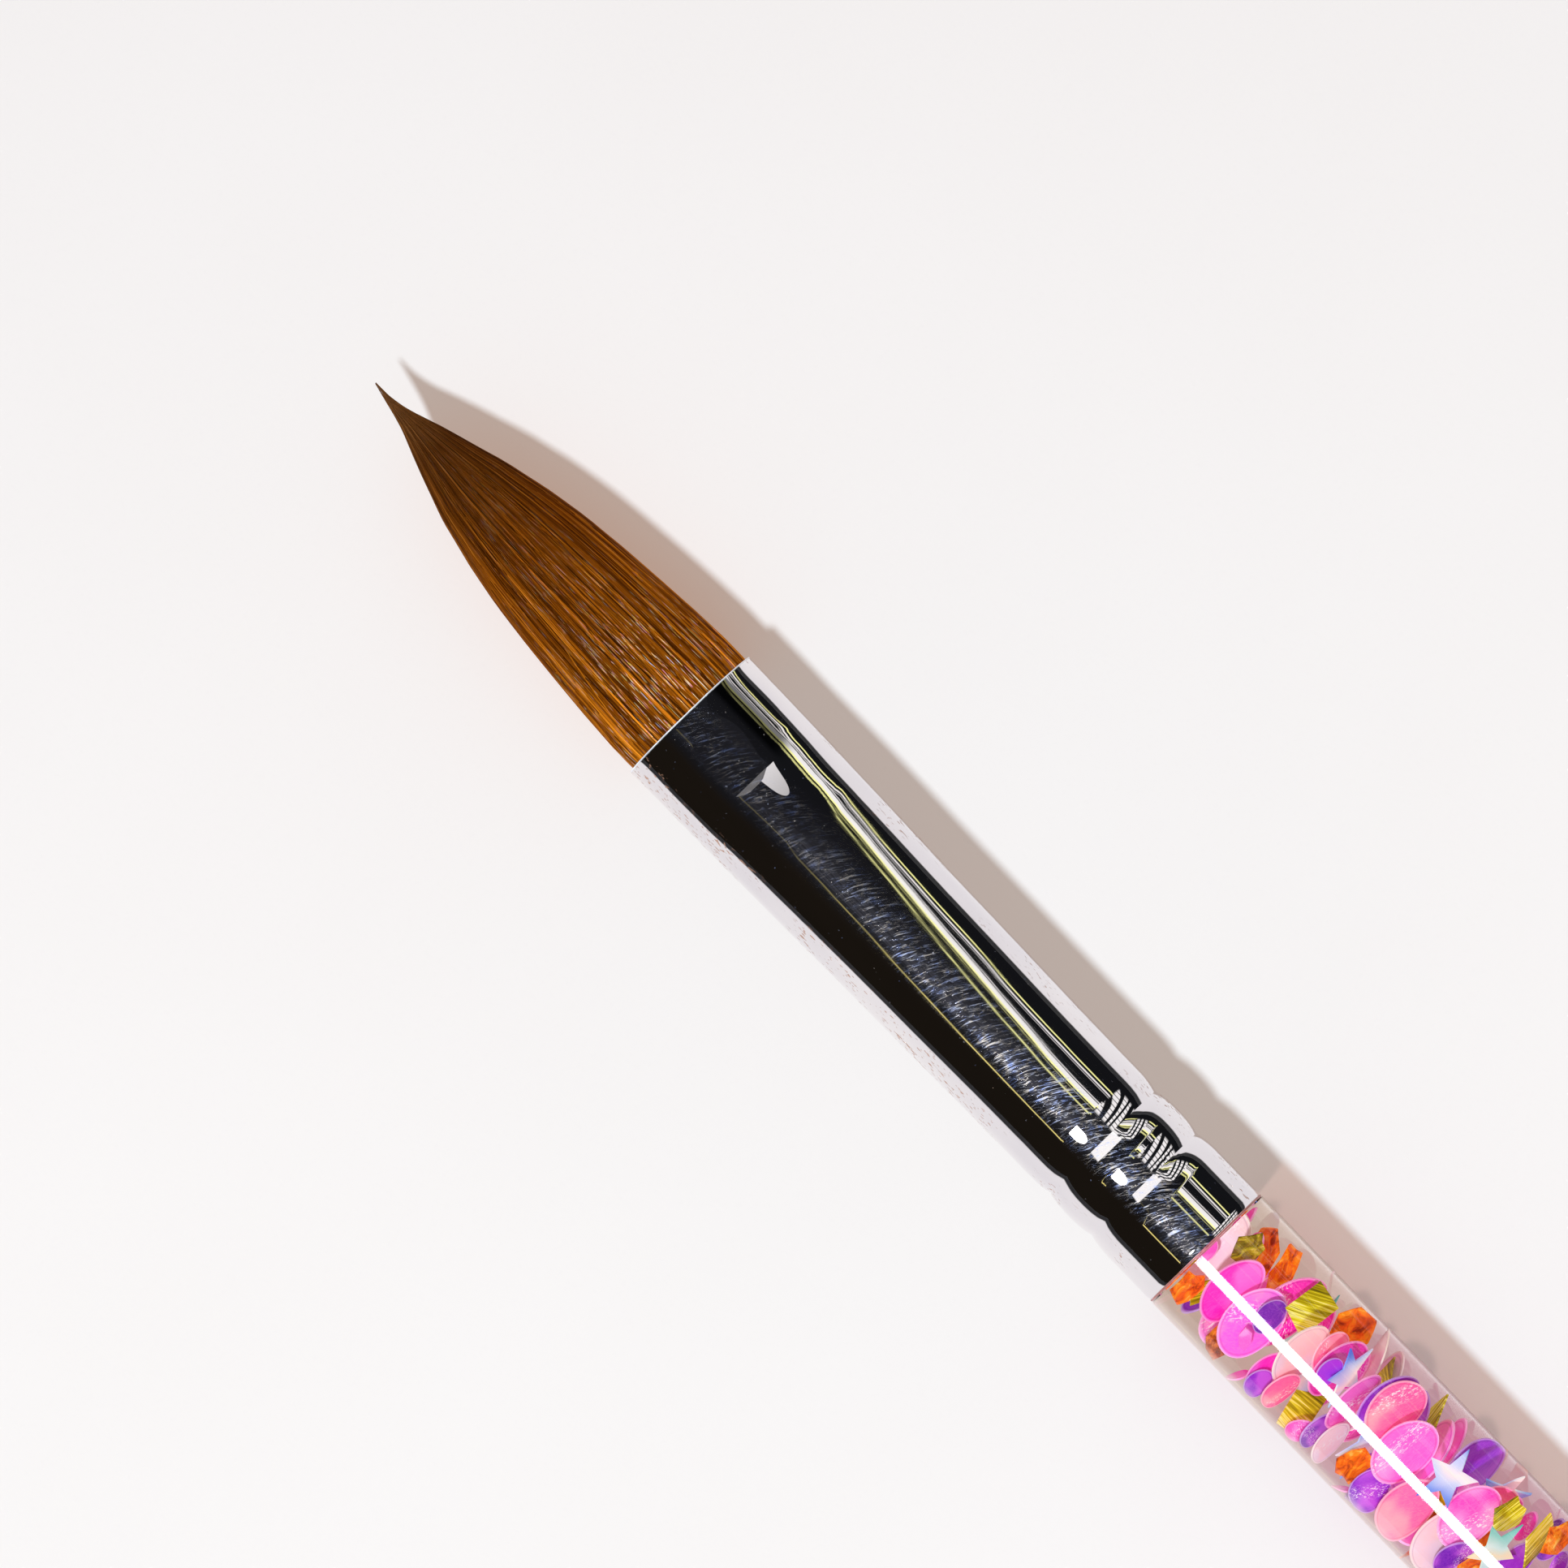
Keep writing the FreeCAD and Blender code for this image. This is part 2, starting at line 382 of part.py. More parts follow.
# Keyed by kind_colour. Each row: centre x, y, z; the sequin's normal x, y, z;
# its turn about the normal in radians.
SEQUINS = {
    "disc15_magenta": [
        (70.291, 0.522, -1.612, -0.7259, 0.1042, -0.6799, 4.58),
        (90.311, -1.098, -0.624, 0.4038, -0.3653, -0.8388, 4.54),
        (81.189, -0.041, 1.385, 0.5019, 0.0404, 0.8640, 3.77),
        (72.603, -0.179, -2.153, 0.7473, 0.0408, -0.6632, 4.88),
        (-2.230, 1.191, -0.906, 0.7637, 0.1566, -0.6262, 1.49),
        (1.675, 0.977, -0.561, 0.7146, 0.2853, -0.6388, 5.34),
        (80.544, -1.353, 0.002, 0.5226, -0.6163, 0.5891, 4.19),
        (75.944, -1.921, -0.530, 0.8917, -0.3303, -0.3094, 6.25),
        (81.884, -0.325, -2.004, 0.8505, 0.0014, -0.5260, 1.97),
        (10.131, -2.249, 0.118, 0.4881, -0.7493, 0.4475, 0.14),
        (60.547, 0.555, -2.310, 0.2385, 0.1718, -0.9558, 4.22),
        (44.704, 0.700, -1.130, -0.4072, 0.2747, -0.8710, 1.09),
        (33.976, -0.301, -2.291, 0.6341, -0.0586, -0.7711, 5.56),
        (62.357, 0.534, -1.150, 0.7683, 0.1322, -0.6262, 2.61),
        (35.534, 0.632, -1.896, 0.8688, 0.0189, -0.4949, 4.87),
        (9.848, 0.661, -1.184, 0.6585, 0.2528, -0.7089, 4.30),
        (52.802, -1.550, -1.130, 0.5107, -0.4337, -0.7423, 5.17),
        (45.615, -1.812, -0.283, 0.3696, -0.6655, -0.6484, 2.50),
        (20.556, 0.941, -1.025, -0.2873, 0.2906, -0.9127, 3.42),
        (63.036, 0.532, 0.545, 0.7358, 0.2084, 0.6443, 2.95),
    ],
    "disc15_pink": [
        (79.517, 0.358, -0.807, 0.4178, 0.0469, -0.9073, 4.85),
        (75.682, -0.195, 1.040, 0.3932, -0.0934, 0.9147, 1.80),
        (26.625, -0.143, -2.192, 0.2717, -0.0444, -0.9614, 4.22),
        (22.440, -1.059, -1.182, 0.3722, -0.1978, -0.9068, 2.73),
        (49.739, 2.053, 0.985, 0.5952, 0.6006, 0.5339, 0.71),
        (52.504, -0.444, 1.319, 0.6168, -0.2056, 0.7598, 2.31),
        (43.820, -0.157, 0.692, 0.8588, -0.0029, 0.5123, 1.04),
        (59.843, -1.448, 1.802, 0.1325, -0.5106, 0.8496, 0.94),
        (85.268, 0.251, -1.649, 0.8850, 0.0892, -0.4570, 4.16),
        (68.965, -1.533, -1.423, 0.5618, -0.4261, -0.7091, 2.07),
        (18.145, -1.473, -1.211, 0.2845, -0.5858, -0.7589, 2.76),
        (63.132, -2.165, 0.483, -0.7216, -0.5202, 0.4567, 1.67),
        (26.418, -0.066, 1.983, 0.5588, 0.0151, 0.8292, 4.05),
    ],
    "disc15_violet": [
        (6.842, -2.176, 0.144, 0.6470, -0.2961, 0.7027, 5.03),
        (8.981, 0.108, 2.194, 0.7318, 0.0323, 0.6808, 1.82),
        (29.520, -1.585, 0.848, 0.1147, -0.6460, 0.7547, 1.43),
        (34.257, -0.493, -1.181, -0.5011, -0.1965, -0.8428, 2.48),
        (101.888, -1.724, -0.901, -0.6169, -0.4764, -0.6265, 2.94),
        (101.133, -0.262, -0.693, 0.7206, -0.0687, -0.6900, 1.46),
        (23.370, 1.330, -1.441, 0.4678, 0.3655, -0.8047, 5.26),
        (63.640, 0.473, 2.118, 0.6381, 0.1692, 0.7512, 0.99),
        (101.687, -1.902, 0.934, -0.3926, -0.5678, 0.7235, 0.16),
        (45.707, -0.551, 0.460, 0.8881, -0.1360, 0.4392, 2.42),
        (24.626, -1.968, -0.798, 0.5868, -0.5454, -0.5985, 4.15),
        (64.666, 1.343, 0.218, 0.8128, 0.3750, 0.4458, 1.79),
        (76.997, 0.970, 2.189, 0.4789, 0.3628, 0.7994, 0.20),
        (-5.676, 1.253, 0.263, 0.8686, 0.4171, 0.2676, 2.61),
        (25.185, 0.056, 0.634, -0.6498, 0.0725, 0.7567, 3.18),
        (4.790, -0.072, 0.288, 0.4926, 0.0098, 0.8702, 3.27),
        (98.043, 1.712, -0.779, 0.6850, 0.4574, -0.5670, 0.41),
    ],
    "disc1_magenta": [
        (99.615, 1.263, -0.151, 0.7792, 0.4941, -0.3857, 3.62),
        (21.908, 1.010, -1.691, 0.4495, 0.3274, -0.8312, 2.35),
        (40.165, -0.118, 0.550, 0.8635, -0.0203, 0.5039, 5.76),
        (96.443, -0.418, -1.888, 0.6318, -0.1439, -0.7616, 5.91),
        (7.344, -0.751, 0.174, 0.3370, -0.4256, 0.8398, 0.96),
        (22.953, -2.224, -0.871, 0.8450, -0.3413, -0.4116, 1.62),
        (27.400, -0.541, -2.428, 0.8218, -0.0111, -0.5696, 1.93),
        (93.272, 1.940, -0.546, 0.3008, 0.7527, -0.5856, 2.44),
        (85.511, 1.878, -0.293, -0.8386, 0.4390, -0.3226, 5.60),
        (45.020, 0.926, -2.349, 0.6211, 0.2693, -0.7360, 2.85),
        (5.830, -2.094, -1.139, 0.6999, -0.4611, -0.5454, 2.66),
        (13.808, -2.328, -0.903, 0.4598, -0.6933, -0.5549, 4.25),
        (74.958, -0.594, 0.212, 0.6448, -0.2754, 0.7130, 4.31),
        (49.339, -1.717, -1.663, 0.7117, -0.3278, -0.6214, 4.19),
        (79.511, -1.610, 1.832, 0.7886, -0.3068, 0.5330, 0.93),
        (-0.722, -0.954, -2.371, 0.4491, -0.0895, -0.8890, 6.13),
        (63.376, 0.914, -0.507, 0.3692, 0.3329, -0.8677, 3.51),
        (65.204, -2.186, -0.046, 0.4454, -0.7844, -0.4316, 0.98),
        (85.274, -0.358, -0.925, 0.8848, -0.0980, -0.4556, 2.11),
        (93.732, 0.765, 2.303, 0.8335, -0.0119, 0.5524, 3.53),
        (85.532, -2.094, -0.802, 0.5943, -0.6274, -0.5032, 2.51),
    ],
    "disc1_pink": [
        (18.418, 0.768, 0.621, -0.4059, 0.0766, 0.9107, 4.80),
        (91.851, -0.311, -0.352, 0.5430, -0.1984, -0.8160, 6.15),
        (40.399, 0.147, 2.317, 0.1730, 0.0813, 0.9816, 6.17),
        (79.261, -0.612, 1.485, -0.3615, -0.1989, 0.9109, 4.55),
        (84.849, 0.985, -2.304, -0.4239, 0.3476, -0.8364, 3.21),
        (39.346, -1.138, -0.281, 0.5261, -0.5954, -0.6072, 6.09),
        (92.495, -1.678, 0.368, -0.7642, -0.3412, 0.5474, 2.48),
        (-0.910, 0.258, 0.045, 0.5448, 0.1689, 0.8214, 2.92),
        (67.974, -1.651, 0.500, 0.3133, -0.6927, 0.6496, 2.87),
        (0.073, -0.070, -0.227, 0.4088, -0.0100, -0.9126, 1.34),
        (-5.583, -1.231, -2.102, 0.5312, -0.3231, -0.7832, 5.76),
        (74.761, -1.720, 0.982, 0.3509, -0.5812, 0.7342, 3.59),
        (-3.755, -1.636, 0.149, 0.5456, -0.7222, 0.4252, 2.06),
        (7.977, -0.525, -2.160, 0.6133, -0.0175, -0.7896, 5.97),
        (47.025, -1.175, -2.131, 0.8468, -0.1752, -0.5023, 3.47),
        (12.486, 0.248, -1.118, 0.3448, 0.0762, -0.9356, 1.97),
        (47.436, 0.376, -2.100, 0.4045, 0.0072, -0.9145, 2.74),
        (59.367, -1.000, 1.398, 0.4746, -0.2996, 0.8277, 2.97),
        (87.114, -0.519, 2.217, 0.5020, -0.0863, 0.8606, 4.48),
        (44.428, -1.853, 1.016, 0.9237, -0.2517, 0.2887, 1.27),
        (-5.606, -2.518, 0.088, -0.1042, -0.9297, 0.3532, 4.45),
        (81.801, 1.382, 0.533, -0.3932, 0.4811, 0.7835, 1.09),
        (87.958, 0.893, 0.429, 0.9508, 0.1410, 0.2757, 3.10),
        (81.659, 1.135, -0.479, 0.2713, 0.5998, -0.7527, 4.88),
        (0.416, 1.120, -1.969, 0.8632, 0.2163, -0.4561, 3.40),
        (-2.025, -1.094, -1.242, 0.5487, -0.4030, -0.7325, 3.17),
        (81.965, -0.191, 2.200, 0.5926, -0.0373, 0.8047, 1.59),
        (27.082, -1.361, -0.069, 0.5935, -0.6034, -0.5326, 5.70),
        (80.146, -0.699, 2.068, 0.4203, -0.1920, 0.8868, 1.35),
        (3.816, -0.490, -0.958, 0.5444, -0.0938, -0.8335, 4.50),
        (93.943, -0.057, 0.593, 0.8058, -0.0444, 0.5905, 0.82),
        (23.432, -1.209, -1.836, 0.0975, -0.4506, -0.8874, 3.16),
    ],
    "disc1_violet": [
        (24.729, 0.899, -1.832, 0.3844, 0.3514, -0.8536, 6.11),
        (43.420, 1.250, -2.077, 0.7908, 0.2813, -0.5436, 4.17),
        (24.526, 1.019, -1.201, 0.5070, 0.4025, -0.7622, 4.99),
        (55.260, -1.111, 0.583, 0.8173, -0.2230, 0.5314, 5.55),
        (89.236, 0.731, 2.352, 0.8833, 0.1500, 0.4442, 1.15),
        (100.373, -1.250, -0.133, 0.6768, -0.4819, -0.5564, 2.12),
        (42.052, -0.644, -0.364, 0.9203, -0.1861, -0.3441, 1.33),
        (104.759, 0.353, -1.142, 0.2446, 0.0325, -0.9691, 1.47),
        (11.397, 1.114, -1.736, 0.8536, 0.1994, -0.4812, 3.20),
        (14.690, -2.102, -1.086, 0.2326, -0.6375, -0.7345, 2.47),
        (40.473, 1.406, -1.219, 0.7927, 0.3017, -0.5297, 4.64),
        (7.814, -0.335, -2.479, 0.5000, -0.0407, -0.8651, 3.14),
        (100.322, -0.945, -2.158, 0.8835, -0.2281, -0.4090, 5.19),
        (90.694, -1.361, 1.859, 0.7191, -0.2748, 0.6382, 5.40),
        (98.528, 0.716, 0.001, -0.1429, 0.4888, 0.8606, 3.58),
        (48.042, 0.160, 2.464, 0.0773, 0.0438, 0.9960, 4.36),
    ],
    "disc2_magenta": [
        (6.779, -1.500, -0.113, 0.6745, -0.3030, 0.6733, 1.92),
        (24.099, -0.727, -1.843, -0.5976, -0.1537, -0.7869, 6.25),
        (52.320, -0.995, -0.714, 0.6177, -0.4737, -0.6277, 0.16),
        (7.015, 0.500, -1.154, 0.8320, 0.0583, -0.5516, 5.80),
        (67.042, 1.294, -0.419, 0.2852, 0.6364, -0.7167, 4.01),
        (9.361, -0.052, -2.055, -0.5510, -0.0445, -0.8333, 5.91),
        (59.201, 0.740, -2.026, 0.5822, 0.1533, -0.7985, 4.32),
        (-1.898, -1.553, -1.435, 0.7433, -0.3451, -0.5731, 5.43),
        (51.079, 0.474, 0.182, 0.3282, 0.4101, 0.8510, 3.10),
        (95.159, -1.598, -0.765, 0.2625, -0.6163, -0.7425, 5.86),
        (77.391, -1.686, 0.095, 0.7440, -0.4944, 0.4494, 6.07),
        (67.186, 1.528, -1.190, 0.7913, 0.2645, -0.5512, 4.86),
        (98.494, -1.947, -0.285, 0.3120, -0.7455, -0.5890, 3.32),
        (47.960, -1.424, 0.142, 0.7948, -0.4844, 0.3656, 1.10),
        (92.307, -0.606, -0.387, 0.5414, -0.0298, -0.8403, 5.39),
        (64.127, 0.730, 0.214, 0.9065, 0.2062, 0.3685, 0.30),
        (48.220, 0.505, -0.688, 0.9119, 0.0876, -0.4008, 3.78),
        (29.562, -0.180, 2.130, 0.5869, -0.0723, 0.8064, 0.32),
        (47.413, 0.238, 1.008, 0.6175, 0.1300, 0.7758, 1.12),
        (31.419, -0.285, 0.116, -0.7363, -0.1452, 0.6609, 3.97),
        (53.342, -1.140, -1.810, 0.7230, -0.2373, -0.6488, 4.74),
        (73.134, 0.942, 0.953, -0.5379, 0.4506, 0.7124, 1.84),
        (22.402, -0.822, -1.821, 0.2502, -0.3282, -0.9109, 1.34),
    ],
    "disc2_pearl": [
        (11.644, -1.704, -0.077, 0.8516, -0.0488, 0.5218, 1.47),
        (97.255, 1.328, 0.845, 0.5533, 0.5256, 0.6462, 6.07),
        (42.982, -0.569, 1.260, 0.8794, -0.0428, 0.4741, 0.02),
        (42.570, 1.026, -1.959, 0.6617, 0.2118, -0.7193, 5.40),
        (89.569, -1.405, 0.991, 0.8478, -0.3546, 0.3944, 2.72),
        (96.917, -1.038, 0.644, 0.5581, -0.5078, 0.6563, 4.05),
        (33.135, -2.182, -0.380, 0.4580, -0.7497, -0.4776, 0.84),
        (73.787, -1.512, -1.341, 0.5201, -0.3697, -0.7699, 0.01),
        (48.211, -0.312, -2.106, 0.4440, -0.0909, -0.8914, 6.13),
        (4.220, -0.564, -2.046, 0.2330, -0.1709, -0.9573, 0.85),
        (79.347, -0.999, -1.302, 0.4192, -0.3398, -0.8419, 4.85),
    ],
    "disc2_pink": [
        (11.837, -0.033, -2.023, 0.5321, 0.0411, -0.8457, 6.21),
        (61.437, -0.933, 0.556, 0.6756, -0.3453, 0.6514, 1.37),
        (41.443, 0.901, -0.636, 0.6734, 0.4197, -0.6086, 2.92),
        (78.080, -0.710, -1.606, 0.7924, -0.2045, -0.5747, 4.90),
        (104.839, 0.701, -1.451, 0.2958, 0.2394, -0.9248, 1.52),
        (36.681, -1.658, 1.423, 0.4726, -0.4436, 0.7615, 1.73),
        (16.079, 0.941, -1.430, 0.7663, 0.1869, -0.6147, 6.11),
        (84.661, 1.097, 1.211, 0.7930, 0.3278, 0.5135, 3.63),
        (-1.486, 0.670, -1.550, 0.7650, 0.1733, -0.6203, 3.33),
        (81.946, -1.437, -0.410, 0.9263, -0.2890, -0.2419, 4.00),
        (16.576, -0.283, -1.925, 0.8675, -0.0625, -0.4934, 2.33),
        (61.221, -1.428, 1.042, 0.7847, -0.3535, 0.5092, 2.01),
        (54.483, 0.971, -1.948, -0.1402, 0.2682, -0.9531, 3.20),
        (55.205, 1.740, 0.986, 0.6561, 0.4623, 0.5965, 1.31),
        (96.321, 0.657, -1.240, 0.7504, 0.1763, -0.6370, 3.02),
        (95.456, -1.268, -1.657, 0.5500, -0.4146, -0.7250, 3.41),
    ],
    "disc2_salmon": [
        (7.909, -1.793, 0.498, 0.8286, -0.2628, 0.4944, 3.98),
        (8.286, 0.672, 1.071, 0.7614, 0.1813, 0.6224, 2.27),
        (25.454, 0.271, 1.502, -0.1269, 0.1301, 0.9834, 2.37),
        (33.264, 1.278, 1.549, 0.8368, 0.1619, 0.5230, 5.62),
        (103.838, -1.568, 1.414, 0.1575, -0.6345, 0.7567, 0.17),
        (71.663, -0.860, -1.815, 0.8502, -0.1312, -0.5098, 0.21),
        (71.460, -1.351, 0.740, 0.8224, -0.3445, 0.4527, 2.98),
        (19.973, 1.023, -0.359, -0.3139, 0.4306, -0.8462, 2.76),
        (25.714, -1.630, -0.484, -0.3774, -0.5927, -0.7115, 5.94),
        (57.201, 0.373, 0.230, 0.9515, 0.1302, 0.2788, 2.72),
        (39.056, -0.962, 1.824, 0.7255, -0.0367, 0.6873, 4.30),
        (32.286, 0.833, 0.995, 0.6313, 0.2681, 0.7277, 3.30),
        (83.604, -1.163, -0.131, 0.5170, -0.5536, -0.6529, 1.62),
        (62.988, -0.601, 2.074, 0.6245, -0.2161, 0.7505, 0.72),
        (79.976, -0.065, -1.981, 0.2533, -0.1178, -0.9602, 3.48),
        (33.279, -0.016, -1.880, 0.1514, 0.0916, -0.9842, 2.35),
        (96.973, 1.080, -1.618, 0.5716, 0.3606, -0.7370, 4.02),
        (73.864, 0.013, 2.179, 0.1400, 0.0270, 0.9898, 5.25),
        (57.985, -1.157, -1.526, 0.7057, -0.3106, -0.6368, 5.40),
        (34.545, 1.281, 0.904, 0.6172, 0.4757, 0.6267, 0.06),
        (67.476, -1.733, -1.199, 0.3512, -0.5182, -0.7798, 1.23),
        (96.100, 1.189, -1.773, 0.5918, 0.2599, -0.7631, 2.75),
        (103.935, -0.435, 0.901, 0.4858, -0.1647, 0.8584, 4.59),
        (37.765, -1.946, 1.111, 0.3273, -0.5979, 0.7317, 4.57),
    ],
    "disc2_violet": [
        (10.737, -1.855, 0.557, 0.8767, -0.1509, 0.4568, 2.25),
        (14.891, -1.900, -0.144, 0.2753, -0.0481, 0.9602, 0.51),
        (105.023, 0.373, -1.936, 0.4895, 0.0167, -0.8718, 5.43),
        (36.672, 0.024, 0.464, -0.5683, -0.0820, 0.8188, 0.61),
        (79.732, 0.478, 0.645, 0.3484, 0.0450, 0.9363, 0.61),
        (97.591, -1.826, -1.278, -0.5890, -0.5345, -0.6062, 1.57),
        (71.377, 1.646, 0.976, 0.1874, 0.5532, 0.8117, 4.23),
        (73.017, -0.273, 1.689, -0.2610, -0.0537, 0.9638, 0.04),
        (22.817, 0.015, -0.295, -0.7131, -0.0430, -0.6997, 3.08),
        (14.170, -0.391, -1.793, 0.5353, -0.1507, -0.8311, 1.46),
        (33.541, -0.995, 1.880, 0.4369, -0.1346, 0.8894, 4.96),
        (-1.494, -2.053, 0.124, 0.7758, -0.5674, 0.2759, 4.30),
        (46.470, -0.305, -0.147, 0.6752, -0.1799, -0.7154, 0.56),
        (104.342, -0.387, 0.942, 0.5074, -0.1327, 0.8514, 4.42),
        (56.908, -0.377, -1.544, 0.5047, -0.1847, -0.8433, 0.83),
        (12.939, 0.559, -1.877, 0.3131, 0.1287, -0.9410, 2.12),
        (92.871, -1.596, 1.375, 0.5235, -0.4513, 0.7227, 6.08),
        (1.621, -0.561, -1.869, 0.7668, 0.0029, -0.6418, 2.07),
        (66.972, 0.070, 0.217, 0.7459, 0.0445, 0.6645, 0.53),
        (42.855, 1.082, 0.454, 0.5434, 0.3500, 0.7630, 5.64),
        (96.261, -0.323, 0.845, 0.4245, -0.1059, 0.8992, 0.49),
        (67.540, 0.286, -1.591, 0.7983, -0.0529, -0.5999, 0.11),
        (67.296, 0.701, 1.904, 0.4272, 0.2543, 0.8677, 3.41),
        (63.682, -1.011, -0.814, 0.7899, -0.3202, -0.5230, 5.21),
        (13.743, 1.034, -0.910, 0.6002, 0.4360, -0.6706, 2.18),
        (88.134, -1.586, 1.402, 0.4262, -0.4065, 0.8081, 5.98),
        (22.239, -2.082, 0.122, 0.6811, -0.6464, 0.3438, 5.09),
        (69.422, -1.258, -1.812, 0.6687, -0.2955, -0.6823, 3.00),
        (61.511, -1.597, 1.438, 0.5799, -0.3727, 0.7245, 5.20),
        (34.896, 0.854, -1.851, 0.6769, 0.2042, -0.7072, 4.74),
        (20.501, -1.280, 0.166, 0.5764, -0.5734, 0.5822, 4.52),
    ],
    "disc3_magenta": [
        (2.400, -0.404, 0.472, 0.6754, -0.0821, 0.7329, 0.62),
        (9.098, 0.469, 1.136, 0.8255, -0.0393, 0.5630, 6.12),
        (10.892, -0.040, 1.169, 0.9271, -0.0233, 0.3740, 1.97),
        (54.314, -0.656, -0.965, -0.5771, -0.2932, -0.7623, 2.87),
        (92.997, 1.126, 1.183, -0.2835, 0.3581, 0.8896, 4.74),
        (83.532, -0.787, 1.057, 0.0553, -0.2620, 0.9635, 4.11),
        (58.018, 1.290, -0.216, 0.9315, 0.3107, -0.1891, 2.51),
        (66.340, -0.310, 1.527, 0.5090, -0.1199, 0.8524, 4.27),
        (101.757, 0.978, -1.187, 0.8980, 0.2121, -0.3855, 5.99),
        (31.507, -1.043, 0.507, -0.7000, -0.3526, 0.6210, 2.10),
        (25.103, -0.717, -0.238, 0.4106, -0.4700, -0.7814, 0.35),
        (59.523, -1.268, 0.031, 0.7734, -0.3738, 0.5120, 2.67),
        (-5.033, -0.439, -0.556, 0.8052, -0.0184, -0.5928, 1.91),
        (36.297, -0.339, -0.402, 0.4186, -0.1765, -0.8909, 4.46),
        (5.162, 0.482, -0.867, -0.5857, 0.1406, -0.7983, 1.17),
        (68.839, 0.570, -0.689, -0.8849, 0.1171, -0.4507, 0.91),
        (38.851, 0.033, -1.593, 0.6092, -0.0938, -0.7874, 1.93),
        (82.602, 1.545, -0.238, 0.6214, 0.6196, -0.4796, 5.33),
        (88.345, 1.214, 0.872, 0.8547, 0.3985, 0.3327, 3.38),
        (93.050, -0.310, -1.660, 0.2700, -0.0345, -0.9623, 4.50),
        (98.146, -0.505, 1.733, 0.0779, -0.1095, 0.9909, 2.11),
        (46.792, -0.233, -0.601, 0.3546, -0.0916, -0.9305, 2.02),
        (90.017, -0.485, -1.718, 0.4776, -0.1468, -0.8662, 2.33),
        (104.931, -1.337, -0.316, 0.7962, -0.4673, -0.3843, 1.13),
        (100.407, 1.419, -1.089, 0.4349, 0.5357, -0.7238, 3.06),
        (27.727, -0.397, -0.304, 0.8039, -0.1560, -0.5739, 0.25),
        (86.353, -1.032, 0.775, 0.9011, -0.2096, 0.3797, 4.21),
        (66.429, -0.759, -0.026, -0.5232, -0.4938, -0.6946, 2.47),
        (76.189, -0.531, -1.268, 0.7697, -0.0242, -0.6379, 3.36),
    ],
    "disc3_orchid": [
        (4.350, -0.677, -0.024, 0.3697, -0.1005, 0.9237, 0.56),
        (76.398, -0.568, 1.625, 0.4124, -0.0087, 0.9109, 0.54),
        (74.114, -0.636, 0.345, 0.7138, -0.2232, 0.6638, 1.16),
        (102.290, 1.017, -0.975, 0.8048, 0.2327, -0.5461, 4.34),
        (80.632, 0.382, -0.842, -0.7641, 0.0529, -0.6429, 0.61),
        (49.077, -1.198, 0.199, 0.5001, -0.5879, 0.6358, 0.02),
        (71.983, 0.334, -0.352, 0.1284, 0.2805, -0.9512, 3.03),
        (15.698, 0.371, -0.699, 0.8317, 0.1475, -0.5352, 2.29),
        (3.551, -0.523, -1.698, 0.1388, -0.2831, -0.9490, 2.78),
        (94.576, 1.022, -1.237, 0.5656, 0.2109, -0.7972, 0.64),
        (43.221, 0.158, -0.745, 0.2899, 0.1061, -0.9512, 0.45),
        (46.551, 1.167, 0.102, 0.1400, 0.6630, 0.7354, 3.77),
        (61.714, 0.607, 1.669, 0.4475, 0.2354, 0.8628, 1.29),
        (30.410, 1.271, -0.416, 0.3224, 0.6491, -0.6890, 0.16),
        (-4.257, -0.618, -1.086, 0.9028, -0.1384, -0.4072, 3.14),
        (77.788, 0.834, -0.969, 0.9170, 0.2099, -0.3393, 4.95),
        (51.414, 0.424, -1.227, -0.6207, 0.2613, -0.7392, 6.28),
        (76.387, 0.143, 1.060, 0.4312, -0.0237, 0.9019, 4.31),
        (43.204, 0.343, 1.454, 0.9141, 0.0528, 0.4020, 2.60),
        (49.811, 1.134, -0.442, -0.8266, 0.2462, -0.5061, 1.96),
        (62.632, -0.901, -1.218, 0.8557, -0.1549, -0.4937, 3.51),
        (102.940, -0.445, 0.549, 0.8500, -0.2374, 0.4703, 4.93),
        (64.777, 0.657, -1.695, 0.5677, 0.2214, -0.7929, 2.45),
        (85.606, 0.689, 1.347, 0.7978, 0.1725, 0.5777, 6.05),
        (37.963, 0.501, -0.851, 0.8469, 0.1547, -0.5088, 3.11),
    ],
    "disc3_pearl": [
        (7.251, -0.253, 1.101, 0.8235, 0.0116, 0.5672, 1.69),
        (19.325, -1.154, -0.088, 0.5870, -0.2107, 0.7817, 5.73),
        (29.690, 0.895, -1.690, -0.4552, 0.3002, -0.8383, 2.17),
        (41.605, -1.000, 0.435, -0.9076, -0.1484, 0.3928, 3.77),
        (87.489, -0.932, 0.922, 0.6981, -0.2891, 0.6550, 2.76),
        (69.165, 1.315, 1.202, -0.4376, 0.4969, 0.7494, 1.15),
        (11.426, 0.557, -1.143, 0.8307, 0.1392, -0.5390, 2.03),
        (32.019, -0.766, -0.971, 0.8678, -0.2088, -0.4508, 1.22),
        (0.114, 0.340, -0.525, 0.0762, 0.1840, -0.9800, 2.04),
        (99.385, -0.605, -1.126, 0.2364, -0.1472, -0.9604, 0.33),
        (73.950, 0.368, -1.846, 0.5497, 0.1174, -0.8271, 5.69),
        (10.328, 1.212, -0.668, 0.8717, 0.3712, -0.3198, 3.30),
    ],
    "disc3_pink": [
        (14.659, 0.060, 0.583, 0.4642, -0.1352, 0.8753, 5.23),
        (19.400, 0.096, 0.852, 0.5133, -0.0138, 0.8581, 2.23),
        (84.810, -0.960, -0.965, 0.8460, -0.1696, -0.5056, 4.08),
        (103.450, 1.024, -0.761, 0.4475, 0.3826, -0.8083, 5.04),
